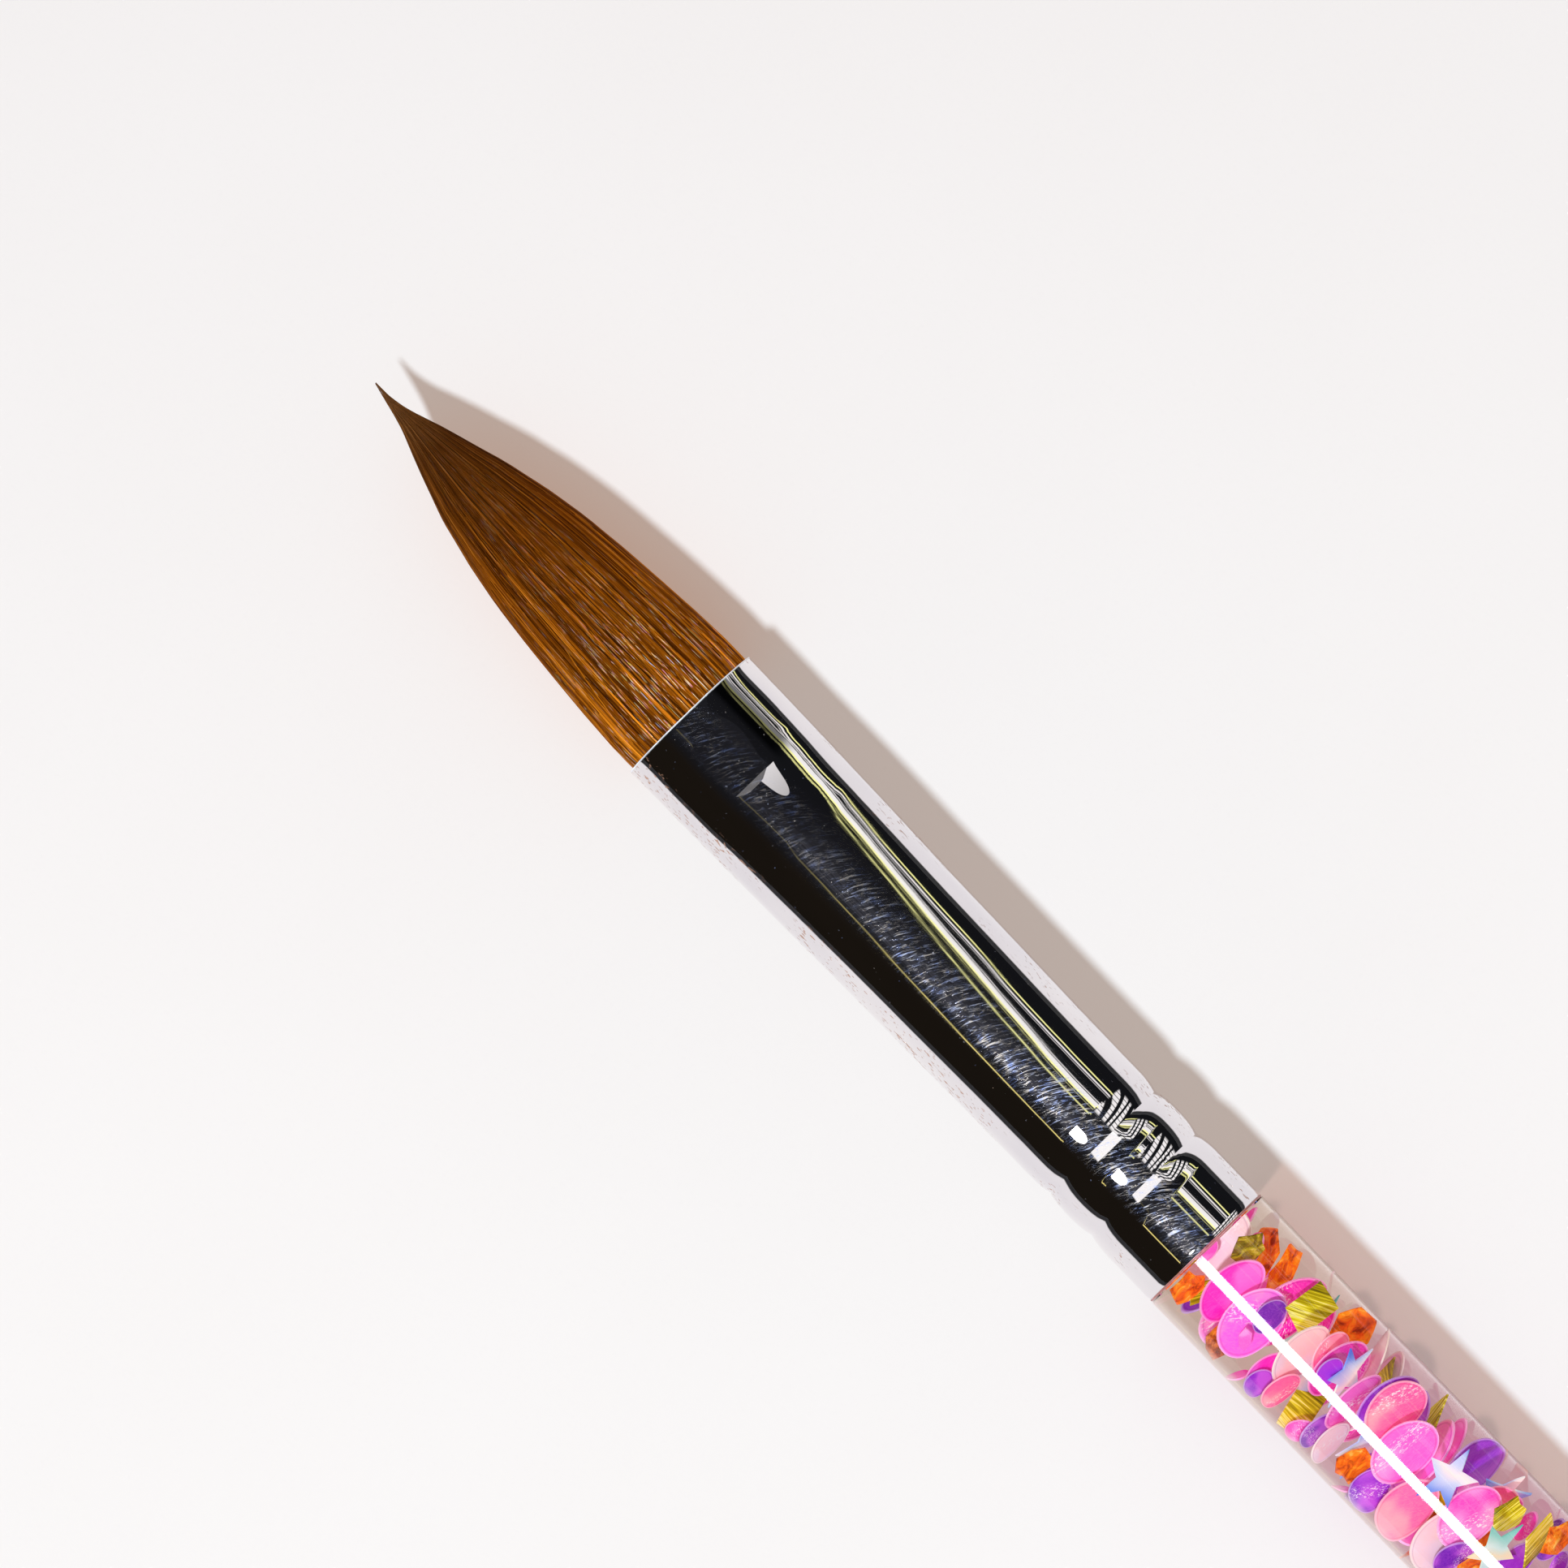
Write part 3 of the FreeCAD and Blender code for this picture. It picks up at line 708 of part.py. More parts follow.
        (39.784, -0.228, -1.604, 0.8083, -0.1001, -0.5803, 3.65),
        (90.396, 0.618, 1.029, 0.8048, 0.1101, 0.5833, 0.93),
        (76.993, 0.245, -0.871, 0.8086, 0.1134, -0.5773, 2.84),
        (51.441, 1.162, 0.160, 0.2642, 0.6089, 0.7480, 4.85),
        (69.930, -1.191, 1.034, -0.7055, -0.3753, 0.6012, 0.22),
        (31.260, -0.708, -1.112, 0.7916, -0.1864, -0.5819, 1.10),
        (89.687, -0.216, -0.454, 0.1052, -0.1990, -0.9743, 2.61),
        (59.036, 0.600, -1.095, 0.8543, 0.0604, -0.5163, 3.40),
        (41.544, -0.055, -1.669, 0.1857, -0.0253, -0.9823, 3.11),
        (96.658, 1.314, 0.528, 0.5733, 0.4692, 0.6717, 0.71),
        (44.338, 1.095, 0.670, 0.9318, 0.1616, 0.3251, 5.38),
        (31.969, -0.339, 1.897, 0.2963, 0.0328, 0.9545, 6.14),
        (46.988, -0.622, -1.624, 0.7185, -0.1531, -0.6785, 0.52),
        (74.906, -0.543, -1.738, 0.6998, -0.1092, -0.7059, 0.07),
        (87.455, -0.047, -1.511, 0.2042, 0.1233, -0.9711, 0.48),
        (89.159, 0.996, 0.818, 0.7385, 0.3166, 0.5954, 5.04),
        (80.241, 0.642, 1.043, 0.5171, 0.3303, 0.7896, 4.75),
        (38.565, 1.146, -0.518, 0.8134, 0.3261, -0.4817, 0.20),
        (90.800, -1.150, 1.524, 0.4738, -0.3802, 0.7944, 4.20),
        (-5.086, 0.636, -1.306, 0.7269, 0.2189, -0.6509, 1.46),
        (56.564, 1.078, 1.464, 0.4316, 0.4501, 0.7818, 1.61),
        (-2.199, -0.739, -0.832, 0.8008, -0.2610, -0.5391, 2.63),
    ],
    "disc3_salmon": [
        (12.766, 0.968, 0.938, 0.5963, 0.0305, 0.8022, 1.95),
        (16.858, -1.440, 0.181, 0.5866, -0.2031, 0.7840, 3.29),
        (-3.773, -0.895, -1.112, 0.7977, -0.0459, -0.6013, 1.54),
        (60.582, 1.123, 0.662, -0.2434, 0.5332, 0.8102, 3.26),
        (30.306, -0.096, 0.711, -0.9393, -0.0955, 0.3295, 1.48),
        (55.772, 0.787, 1.418, 0.6468, 0.3327, 0.6863, 1.82),
        (45.363, -0.324, -1.707, 0.1873, -0.0635, -0.9802, 2.36),
        (38.186, -1.302, 0.638, 0.2017, -0.5469, 0.8126, 3.67),
        (51.303, -0.811, 1.565, 0.6523, -0.2113, 0.7279, 2.52),
        (-3.591, -0.524, -1.699, 0.6353, -0.1058, -0.7650, 3.79),
        (48.669, -0.533, 1.620, 0.4238, -0.2079, 0.8816, 5.89),
        (39.026, -0.681, -1.628, 0.6229, -0.0751, -0.7787, 0.85),
        (88.486, 0.527, -1.736, 0.4319, 0.0861, -0.8978, 5.23),
        (57.627, -1.609, -0.542, 0.5930, -0.6215, -0.5120, 5.41),
        (36.555, 0.151, -1.515, 0.7627, 0.0585, -0.6441, 5.49),
    ],
    "disc3_violet": [
        (12.188, 0.937, 0.627, 0.7978, -0.0786, 0.5978, 2.76),
        (17.756, 1.367, -0.192, 0.7079, 0.1878, 0.6809, 2.79),
        (99.115, -0.356, 0.699, 0.3402, -0.2215, 0.9139, 5.83),
        (65.962, -1.509, -0.083, -0.4837, -0.7076, -0.5151, 3.65),
        (96.283, 0.095, 0.118, 0.3659, 0.1157, 0.9234, 4.33),
        (86.850, 0.700, 0.670, 0.9206, 0.1435, 0.3632, 0.57),
        (104.903, 0.177, 1.526, 0.8895, 0.1172, 0.4417, 5.70),
        (58.048, -0.487, 1.615, 0.7110, -0.1588, 0.6851, 3.53),
        (49.989, 0.298, 1.889, 0.4281, -0.0260, 0.9033, 3.26),
    ],
    "flake_copper": [
        (3.931, -1.716, -0.376, 0.4221, -0.3152, 0.8500, 2.37),
        (54.028, 0.402, 1.499, 0.8660, 0.1810, 0.4661, 0.05),
        (-1.866, 0.614, -1.561, 0.7556, 0.1153, -0.6448, 2.52),
        (34.958, 0.879, 0.004, 0.7270, 0.4221, 0.5416, 5.89),
        (53.099, 1.204, 0.602, 0.8801, 0.2667, 0.3927, 2.99),
        (53.550, 0.066, 0.818, 0.8810, -0.0543, 0.4700, 1.03),
        (98.493, -0.219, -0.548, 0.3774, -0.3293, -0.8655, 3.74),
        (63.295, 1.153, -1.783, 0.6281, 0.1706, -0.7592, 6.17),
        (39.033, 1.266, -0.206, 0.7948, 0.3437, -0.5002, 5.22),
    ],
    "flake_gold": [
        (20.789, 1.248, 0.640, 0.6740, 0.0878, 0.7335, 3.30),
        (78.395, -0.973, 0.021, 0.8556, -0.2483, 0.4542, 2.01),
        (104.224, 2.085, -0.327, 0.6556, 0.6280, -0.4193, 4.24),
        (32.920, -1.792, -0.261, 0.6929, -0.5997, -0.4004, 3.68),
        (63.669, -1.871, -0.981, 0.4529, -0.6522, -0.6079, 2.46),
        (-4.097, 1.405, -1.378, 0.6011, 0.4618, -0.6522, 0.03),
        (40.591, -1.612, 0.627, -0.1701, -0.7107, 0.6826, 0.41),
        (67.232, -1.512, 1.388, 0.4363, -0.5033, 0.7459, 4.66),
    ],
    "flake_olive": [
        (1.484, 1.231, 0.923, 0.6467, -0.1552, 0.7468, 2.94),
        (104.183, -0.657, 0.199, 0.5396, -0.4221, 0.7284, 3.93),
        (74.233, 1.347, -0.829, 0.6152, 0.4754, -0.6289, 0.69),
        (35.065, -1.338, -1.146, -0.7906, -0.2019, -0.5781, 0.14),
        (61.338, 0.887, -0.352, 0.6833, 0.3330, -0.6498, 2.03),
        (72.314, -2.023, 0.072, 0.5818, -0.6712, 0.4593, 5.67),
        (56.391, -1.593, 1.486, 0.6307, -0.4067, 0.6609, 2.04),
        (28.313, -1.351, 1.134, 0.5273, -0.3507, 0.7739, 5.03),
    ],
    "flake_orange": [
        (0.754, -1.569, 0.513, 0.7248, -0.1027, 0.6812, 3.87),
        (13.332, -1.640, 0.146, 0.5387, -0.2787, 0.7951, 0.58),
        (23.466, 1.900, 0.022, 0.6877, 0.3658, 0.6271, 4.30),
        (18.358, -0.081, -2.152, -0.5046, -0.0509, -0.8619, 4.56),
        (3.569, 1.332, -1.031, 0.5957, 0.3303, -0.7322, 2.72),
        (91.115, -1.494, 0.410, 0.4794, -0.5629, 0.6733, 4.27),
        (78.278, 0.275, 1.922, -0.6209, 0.0674, 0.7810, 5.90),
        (54.748, -1.658, 1.123, 0.4585, -0.4362, 0.7743, 3.43),
        (18.913, -1.493, -1.220, 0.9027, -0.3542, -0.2442, 5.80),
        (81.486, 1.070, 1.408, 0.2267, 0.3498, 0.9090, 2.53),
        (80.325, 1.351, 1.250, 0.6650, 0.3387, 0.6656, 4.82),
        (55.226, 1.236, -1.175, -0.3208, 0.4188, -0.8495, 0.50),
        (21.507, -1.033, 0.170, 0.7594, -0.2967, 0.5791, 0.67),
        (99.716, 0.102, -0.720, 0.4665, -0.0662, -0.8820, 0.98),
    ],
    "hexagon_orange": [
        (8.280, 1.767, -0.164, 0.2628, 0.0468, 0.9637, 5.18),
        (21.103, -0.739, -1.250, 0.2774, -0.1895, -0.9419, 2.94),
        (66.011, 0.922, 0.611, 0.7934, 0.2407, 0.5591, 2.79),
        (78.774, 1.876, -1.009, 0.2887, 0.6062, -0.7411, 1.71),
        (2.192, 1.070, -1.288, 0.4926, 0.4731, -0.7304, 4.95),
        (92.191, 1.020, -0.492, 0.4408, 0.3035, -0.8447, 2.33),
        (43.425, -1.645, -1.250, 0.5987, -0.4648, -0.6523, 2.05),
        (63.109, 1.217, 0.989, 0.7482, 0.4709, 0.4674, 4.08),
        (55.955, 0.410, 0.063, 0.1401, 0.3422, 0.9291, 3.67),
        (101.301, 1.233, 1.099, 0.2036, 0.3930, 0.8967, 2.13),
        (66.336, -0.247, -1.831, 0.5198, -0.0506, -0.8528, 5.77),
        (40.445, 0.409, 1.059, 0.7982, 0.1088, 0.5925, 2.56),
        (90.645, -1.083, -0.758, 0.6092, -0.3040, -0.7325, 6.05),
        (20.292, -0.787, -2.002, 0.4980, -0.2269, -0.8369, 5.13),
    ],
    "petal_pink": [
        (26.627, 0.064, -1.365, 0.8167, 0.0027, -0.5770, 2.68),
        (60.148, -1.629, 0.708, 0.2773, -0.6073, 0.7445, 1.93),
        (42.395, -1.276, 0.148, 0.8153, -0.4254, 0.3928, 1.87),
        (77.132, -0.330, -1.687, 0.7897, -0.0125, -0.6133, 0.64),
        (103.194, 0.483, 1.930, -0.8935, 0.0372, 0.4474, 3.04),
        (4.752, -1.281, 0.281, 0.3214, -0.5397, 0.7781, 5.62),
        (62.459, 0.084, 2.303, 0.4962, -0.0066, 0.8682, 1.63),
    ],
    "square_gold": [
        (6.011, 1.235, 0.139, 0.2275, 0.1710, 0.9587, 2.95),
        (9.467, -1.629, -0.187, 0.5204, -0.1252, 0.8447, 1.99),
        (102.120, -0.768, 0.052, 0.4236, -0.4854, 0.7648, 4.52),
        (17.738, 0.246, -0.853, -0.7887, 0.1436, -0.5977, 5.90),
        (-0.552, -0.513, -1.674, 0.5837, -0.1118, -0.8043, 2.23),
        (1.382, -0.509, -0.962, 0.2728, -0.2300, -0.9342, 0.80),
        (37.540, -0.048, -1.045, 0.9123, 0.1439, -0.3833, 4.31),
        (33.383, 1.846, -0.334, -0.3251, 0.7703, -0.5486, 4.15),
        (26.454, -0.822, -0.130, 0.2807, -0.4260, -0.8601, 2.11),
        (49.667, 0.861, -1.497, -0.6363, 0.2755, -0.7205, 1.96),
        (28.063, -0.711, -0.682, 0.8229, -0.1370, -0.5514, 1.18),
        (93.715, 0.491, -0.301, 0.4159, 0.2504, -0.8742, 0.21),
        (55.151, 1.728, 0.458, 0.5449, 0.5229, 0.6555, 1.32),
        (15.465, 0.100, -1.694, 0.7947, 0.0141, -0.6069, 5.83),
        (11.307, 0.786, -0.709, 0.8916, 0.1672, -0.4208, 5.16),
        (28.725, 1.142, 1.450, 0.5727, 0.3901, 0.7210, 0.41),
        (87.202, -0.381, -1.086, 0.1001, -0.1032, -0.9896, 0.82),
        (45.615, -0.970, 1.642, 0.3968, -0.1916, 0.8977, 1.86),
        (64.260, 1.672, 0.069, 0.8338, 0.3730, 0.4070, 2.46),
        (85.424, -1.723, 0.700, 0.6820, -0.4850, 0.5474, 0.06),
        (95.119, 0.446, 1.783, -0.4353, 0.1466, 0.8883, 4.41),
        (28.557, -1.262, -0.694, 0.6643, -0.4151, -0.6216, 4.18),
        (64.102, -1.328, -1.610, 0.4234, -0.3387, -0.8402, 2.49),
        (76.224, 0.316, 2.071, 0.4084, 0.0500, 0.9114, 4.56),
        (19.749, -0.333, 0.149, 0.5622, -0.1879, 0.8054, 6.21),
        (61.400, -1.362, -0.957, 0.6442, -0.4237, -0.6368, 0.49),
        (95.419, 1.046, -1.497, 0.8452, 0.1378, -0.5164, 1.01),
        (37.447, 0.222, 2.028, 0.3837, -0.0675, 0.9210, 4.82),
        (73.609, 1.574, -0.577, 0.4684, 0.5786, -0.6677, 2.19),
        (22.810, 1.299, 0.079, 0.8084, 0.4172, 0.4152, 2.77),
        (14.484, 1.190, -0.816, 0.8952, 0.1771, -0.4089, 3.97),
        (103.459, -0.813, -1.819, 0.6655, -0.1870, -0.7226, 4.96),
    ],
    "star_mint": [
        (21.556, -0.101, 1.507, 0.7524, 0.0177, 0.6584, 5.22),
        (7.307, 0.169, -1.764, 0.6002, 0.0782, -0.7960, 1.22),
        (35.387, -0.959, 1.065, -0.1964, -0.4408, 0.8759, 0.96),
        (93.327, -1.318, -0.592, 0.3418, -0.4785, -0.8088, 1.18),
        (44.098, -1.136, 1.145, 0.7134, -0.4430, 0.5430, 4.09),
    ],
    "star_silver": [
        (9.757, 0.563, 1.372, 0.8300, 0.2786, 0.4833, 1.32),
        (13.043, -0.729, -0.103, 0.8141, -0.1496, 0.5612, 2.75),
        (17.266, 0.622, 1.785, -0.4963, 0.1139, 0.8606, 4.35),
        (56.522, -0.881, -0.627, 0.3160, -0.5577, -0.7675, 1.23),
        (100.025, -0.184, 1.514, -0.1588, -0.2401, 0.9577, 0.83),
        (26.757, 0.964, 0.678, -0.5271, 0.3638, 0.7680, 4.73),
        (75.363, 0.508, 0.613, 0.6081, 0.1501, 0.7796, 4.34),
        (8.399, -0.058, -1.320, 0.6127, -0.0536, -0.7885, 2.75),
        (54.296, 0.407, 0.603, 0.8071, 0.1230, 0.5774, 5.85),
        (70.696, 1.003, 0.616, -0.1174, 0.5382, 0.8346, 1.44),
        (46.747, 0.035, 1.848, 0.2724, 0.0045, 0.9622, 5.43),
        (72.576, 1.518, -0.539, 0.5027, 0.5768, -0.6439, 6.21),
        (19.697, 1.166, -0.787, -0.6399, 0.3644, -0.6765, 0.62),
    ],
}


def sequin(kind):
    """One sequin, centred on the origin with its normal along Z."""
    if kind in DISC_R:
        return Part.makeCylinder(DISC_R[kind], SEQUIN_T, V(0, 0, -SEQUIN_T / 2))
    corners = [V(x, y, -SEQUIN_T / 2) for x, y in OUTLINES[kind]]
    return extrude_polygon(corners, V(0, 0, SEQUIN_T))


def scattered(kind, places):
    base = sequin(kind)
    solids = []
    for x, y, z, normal_x, normal_y, normal_z, turn in places:
        solid = base.copy()
        solid.rotate(V(0, 0, 0), V(0, 0, 1), math.degrees(turn))
        tilt = FreeCAD.Rotation(V(0, 0, 1), V(normal_x, normal_y, normal_z))
        solid.Placement = FreeCAD.Placement(V(x, y, z), tilt).multiply(solid.Placement)
        solids.append(solid)
    return Part.makeCompound(solids)


for name, places in SEQUINS.items():
    save(scattered(name.split("_")[0], places), name)
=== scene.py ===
import bpy
import math
import numpy as np
from mathutils import Vector, Matrix


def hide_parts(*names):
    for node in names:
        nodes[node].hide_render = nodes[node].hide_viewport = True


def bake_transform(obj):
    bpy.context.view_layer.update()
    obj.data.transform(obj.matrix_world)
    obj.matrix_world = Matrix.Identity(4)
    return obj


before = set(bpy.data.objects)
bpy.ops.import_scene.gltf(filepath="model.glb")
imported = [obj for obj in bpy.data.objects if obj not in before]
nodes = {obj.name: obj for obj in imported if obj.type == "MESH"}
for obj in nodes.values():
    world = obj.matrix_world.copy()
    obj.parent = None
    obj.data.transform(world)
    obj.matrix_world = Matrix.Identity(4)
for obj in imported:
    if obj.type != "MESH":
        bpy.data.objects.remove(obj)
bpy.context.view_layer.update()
MM = 0.001
scene = bpy.context.scene

# ---------------------------------------------------------------- measurements (metres)
MOUTH = -38.8 * MM
TUBE_R = 4.0 * MM
BORE_R = 3.0 * MM
FLOOR_Z = -4.0 * MM


# ---------------------------------------------------------------- node helpers
class Tree:
    def __init__(self, name):
        self.mat = bpy.data.materials.new(name)
        self.mat.use_nodes = True
        self.nt = self.mat.node_tree
        self.nt.nodes.clear()
        self.out = self.nt.nodes.new("ShaderNodeOutputMaterial")

    def n(self, kind, props=None, **ins):
        node = self.nt.nodes.new("ShaderNode" + kind)
        for k, v in (props or {}).items():
            setattr(node, k, v)
        for k, v in ins.items():
            self.set(node, k.replace("_", " "), v)
        return node

    def set(self, node, key, v):
        sock = None
        if key.startswith("i") and key[1:].isdigit():
            sock = node.inputs[int(key[1:])]
        else:
            for s in node.inputs:
                if s.name.lower() == key.lower():
                    sock = s
                    break
        if sock is None:
            raise KeyError(node.bl_idname + " " + key)
        if isinstance(v, tuple) and len(v) == 2 and hasattr(v[0], "outputs"):
            self.nt.links.new(v[0].outputs[v[1]], sock)
        elif isinstance(v, bpy.types.NodeSocket):
            self.nt.links.new(v, sock)
        elif hasattr(v, "outputs"):
            self.nt.links.new(v.outputs[0], sock)
        else:
            if isinstance(v, (tuple, list)) and len(v) == 3 and sock.type == "RGBA":
                v = (*v, 1.0)
            sock.default_value = v

    def math(self, op, a, b=0.0, c=0.0, clamp=False):
        node = self.nt.nodes.new("ShaderNodeMath")
        node.operation = op
        node.use_clamp = clamp
        self.set(node, "i0", a)
        self.set(node, "i1", b)
        if op in ("MULTIPLY_ADD", "WRAP", "COMPARE", "SMOOTH_MIN"):
            self.set(node, "i2", c)
        return node

    def ramp(self, fac, stops, interp="LINEAR"):
        node = self.nt.nodes.new("ShaderNodeValToRGB")
        node.color_ramp.interpolation = interp
        el = node.color_ramp.elements
        while len(el) > 1:
            el.remove(el[-1])
        el[0].position = stops[0][0]
        el[0].color = (*stops[0][1], 1.0) if len(stops[0][1]) == 3 else stops[0][1]
        for p, c in stops[1:]:
            e = el.new(p)
            e.color = (*c, 1.0) if len(c) == 3 else c
        self.set(node, "i0", fac)
        return node

    def range(self, v, a, b, c=0.0, d=1.0, smooth=False):
        node = self.nt.nodes.new("ShaderNodeMapRange")
        node.interpolation_type = "SMOOTHSTEP" if smooth else "LINEAR"
        node.clamp = True
        self.set(node, "i0", v)
        for i, x in enumerate((a, b, c, d)):
            node.inputs[i + 1].default_value = x
        return node

    def curve(self, v, pts):
        """Smooth curve through (x, y) points."""
        x0, x1 = pts[0][0], pts[-1][0]
        y0, y1 = min(q[1] for q in pts), max(q[1] for q in pts)
        node = self.nt.nodes.new("ShaderNodeFloatCurve")
        self.set(node, "Value", self.range(v, x0, x1))
        cv = node.mapping.curves[0]
        norm = [((x - x0) / (x1 - x0), (y - y0) / (y1 - y0)) for x, y in pts]
        cv.points[0].location = norm[0]
        cv.points[1].location = norm[-1]
        for q in norm[1:-1]:
            cv.points.new(*q)
        node.mapping.update()
        return self.math("MULTIPLY_ADD", node, y1 - y0, y0)

    def mix(self, fac, a, b, blend="MIX"):
        node = self.nt.nodes.new("ShaderNodeMix")
        node.data_type = "RGBA"
        node.blend_type = blend
        self.set(node, "i0", fac)
        for i, x in ((6, a), (7, b)):
            self.set(node, "i%d" % i, x)
        return (node, 2)

    def attr(self, name, out=2):
        node = self.nt.nodes.new("ShaderNodeAttribute")
        node.attribute_name = name
        return (node, out)

    def coord(self, which=3):
        return (self.nt.nodes.new("ShaderNodeTexCoord"), which)   # 3 = object

    def xyz(self, v):
        node = self.nt.nodes.new("ShaderNodeSeparateXYZ")
        self.set(node, "i0", v)
        return node

    def mapping(self, v, scale=(1, 1, 1), loc=(0, 0, 0), rot=(0, 0, 0)):
        node = self.nt.nodes.new("ShaderNodeMapping")
        self.set(node, "Vector", v)
        node.inputs["Scale"].default_value = scale
        node.inputs["Location"].default_value = loc
        node.inputs["Rotation"].default_value = rot
        return node

    def noise(self, v, scale, detail=2.0, rough=0.5, dist=0.0):
        node = self.nt.nodes.new("ShaderNodeTexNoise")
        self.set(node, "Vector", v)
        node.inputs["Scale"].default_value = scale
        node.inputs["Detail"].default_value = detail
        node.inputs["Roughness"].default_value = rough
        node.inputs["Distortion"].default_value = dist
        return node

    def bump(self, h, strength=0.3, dist=0.0001):
        node = self.nt.nodes.new("ShaderNodeBump")
        node.inputs["Strength"].default_value = strength
        node.inputs["Distance"].default_value = dist
        self.set(node, "Height", h)
        return node

    def surface(self, s):
        self.set(self.out, "Surface", s)
        return self.mat


def srgb(r, g, b):
    f = lambda c: (c / 255 / 12.92) if c / 255 <= 0.04045 else ((c / 255 + 0.055) / 1.055) ** 2.4
    return (f(r), f(g), f(b))


# the ferrule's outer wall: half width, half height and turn of its oval along the length (mm, degrees)
OVAL = np.array([(-38.8, 4.326, 3.37, 2.4), (-36.6, 4.307, 3.42, 0.8), (-35.1, 4.296, 3.445, -0.8), (-33.86, 4.286, 3.48, -1.8), (-32.7, 4.271, 3.60, -1.9),
                 (-31.0, 4.249, 3.74, -1.2), (-28.4, 4.215, 3.805, 0.0), (-23.3, 4.118, 3.855, 0.0), (-18.2, 4.062, 3.91, 0.0), (-14.0, 4.008, 3.955, 0.0), (-10.6, 3.985, 3.985, 0.0)])


def slopes(x, y):
    """Slope of a smooth curve through the points, at each point."""
    h = np.diff(x)
    d = np.diff(y) / h
    m = np.empty(len(x))
    m[1:-1] = (h[1:] * d[:-1] + h[:-1] * d[1:]) / (h[:-1] + h[1:])
    m[0], m[-1] = d[0], 0.0
    return m


def wall_normal(t, oval):
    """The true direction of a smooth round wall at each point, instead of one blended across a facet."""
    s = t.xyz(t.coord())
    geo = t.nt.nodes.new("ShaderNodeNewGeometry")
    g = t.xyz((geo, 1))
    xm = t.math("MULTIPLY", (s, 0), 1000.0)
    y = t.math("MULTIPLY", (s, 1), 1000.0)
    z = t.math("MULTIPLY", (s, 2), 1000.0)
    if oval:
        X = OVAL[:, 0]
        a, b, r = (t.curve(xm, list(zip(X, OVAL[:, k]))) for k in (1, 2, 3))
        r = t.math("MULTIPLY", r, math.pi / 180)
        da, db, dr = (t.curve(xm, list(zip(X, slopes(X, OVAL[:, k])))) for k in (1, 2, 3))
        dr = t.math("MULTIPLY", dr, math.pi / 180)
        cs, sn = t.math("COSINE", r), t.math("SINE", r)
        yp = t.math("ADD", t.math("MULTIPLY", y, cs), t.math("MULTIPLY", z, sn))
        zp = t.math("SUBTRACT", t.math("MULTIPLY", z, cs), t.math("MULTIPLY", y, sn))
        ia = t.math("DIVIDE", 1.0, t.math("MULTIPLY", a, a))
        ib = t.math("DIVIDE", 1.0, t.math("MULTIPLY", b, b))
        gyp, gzp = t.math("MULTIPLY", yp, ia), t.math("MULTIPLY", zp, ib)
        gy = t.math("SUBTRACT", t.math("MULTIPLY", gyp, cs), t.math("MULTIPLY", gzp, sn))
        gz = t.math("ADD", t.math("MULTIPLY", gyp, sn), t.math("MULTIPLY", gzp, cs))
        gx = t.math("MULTIPLY", t.math("MULTIPLY", t.math("MULTIPLY", gyp, yp), t.math("DIVIDE", da, a)), -1.0)
        gx = t.math("SUBTRACT", gx, t.math("MULTIPLY", t.math("MULTIPLY", gzp, zp), t.math("DIVIDE", db, b)))
        gx = t.math("ADD", gx, t.math("MULTIPLY", t.math("MULTIPLY", t.math("MULTIPLY", yp, zp), dr), t.math("SUBTRACT", ia, ib)))
        ln = t.math("SQRT", t.math("ADD", t.math("MULTIPLY", gy, gy), t.math("MULTIPLY", gz, gz)))
        # the long middle stretch was drawn straight; the grooves keep their own slopes
        nx = t.math("MULTIPLY", t.math("DIVIDE", gx, ln), t.range(xm, -33.6, -29.2, 1.0, 0.0, True))
        groove = t.math("MULTIPLY", t.range(xm, -9.62, -9.60), t.range(xm, -3.02, -3.0, 1.0, 0.0))
        groove = t.math("ADD", groove, t.range(xm, -0.45, -0.44), clamp=True)
        # the far wall of each groove is rounder high on the sheet
        back = t.math("MULTIPLY", t.range((g, 0), -0.03, -0.01, 1.0, 0.0), t.range(y, 0.8, 1.3, 0.0, 1.0, True))
        nx = t.math("ADD", nx, t.math("MULTIPLY", t.math("MULTIPLY", (g, 0), t.math("ADD", 1.0, t.math("MULTIPLY", back, 1.3))), groove))
    else:
        gy, gz = y, z
        ln = t.math("SQRT", t.math("ADD", t.math("MULTIPLY", gy, gy), t.math("MULTIPLY", gz, gz)))
        nx = t.math("MULTIPLY", (g, 0), 0.0)
    rest = t.math("SQRT", t.math("SUBTRACT", 1.0, t.math("MULTIPLY", nx, nx)))
    # turned round for light that meets the wall from inside
    flip = t.math("SUBTRACT", 1.0, t.math("MULTIPLY", (geo, 6), 2.0))
    v = t.nt.nodes.new("ShaderNodeCombineXYZ")
    if oval:
        t.set(v, "i0", nx)
    else:
        t.set(v, "i0", t.math("MULTIPLY", nx, flip))
    t.set(v, "i1", t.math("MULTIPLY", t.math("MULTIPLY", rest, t.math("DIVIDE", gy, ln)), flip))
    t.set(v, "i2", t.math("MULTIPLY", t.math("MULTIPLY", rest, t.math("DIVIDE", gz, ln)), flip))
    mx = t.nt.nodes.new("ShaderNodeMix")
    mx.data_type = "VECTOR"
    t.set(mx, "i0", t.attr("wall"))
    t.set(mx, "i4", (geo, 1))
    t.set(mx, "i5", v)
    return (mx, 1)


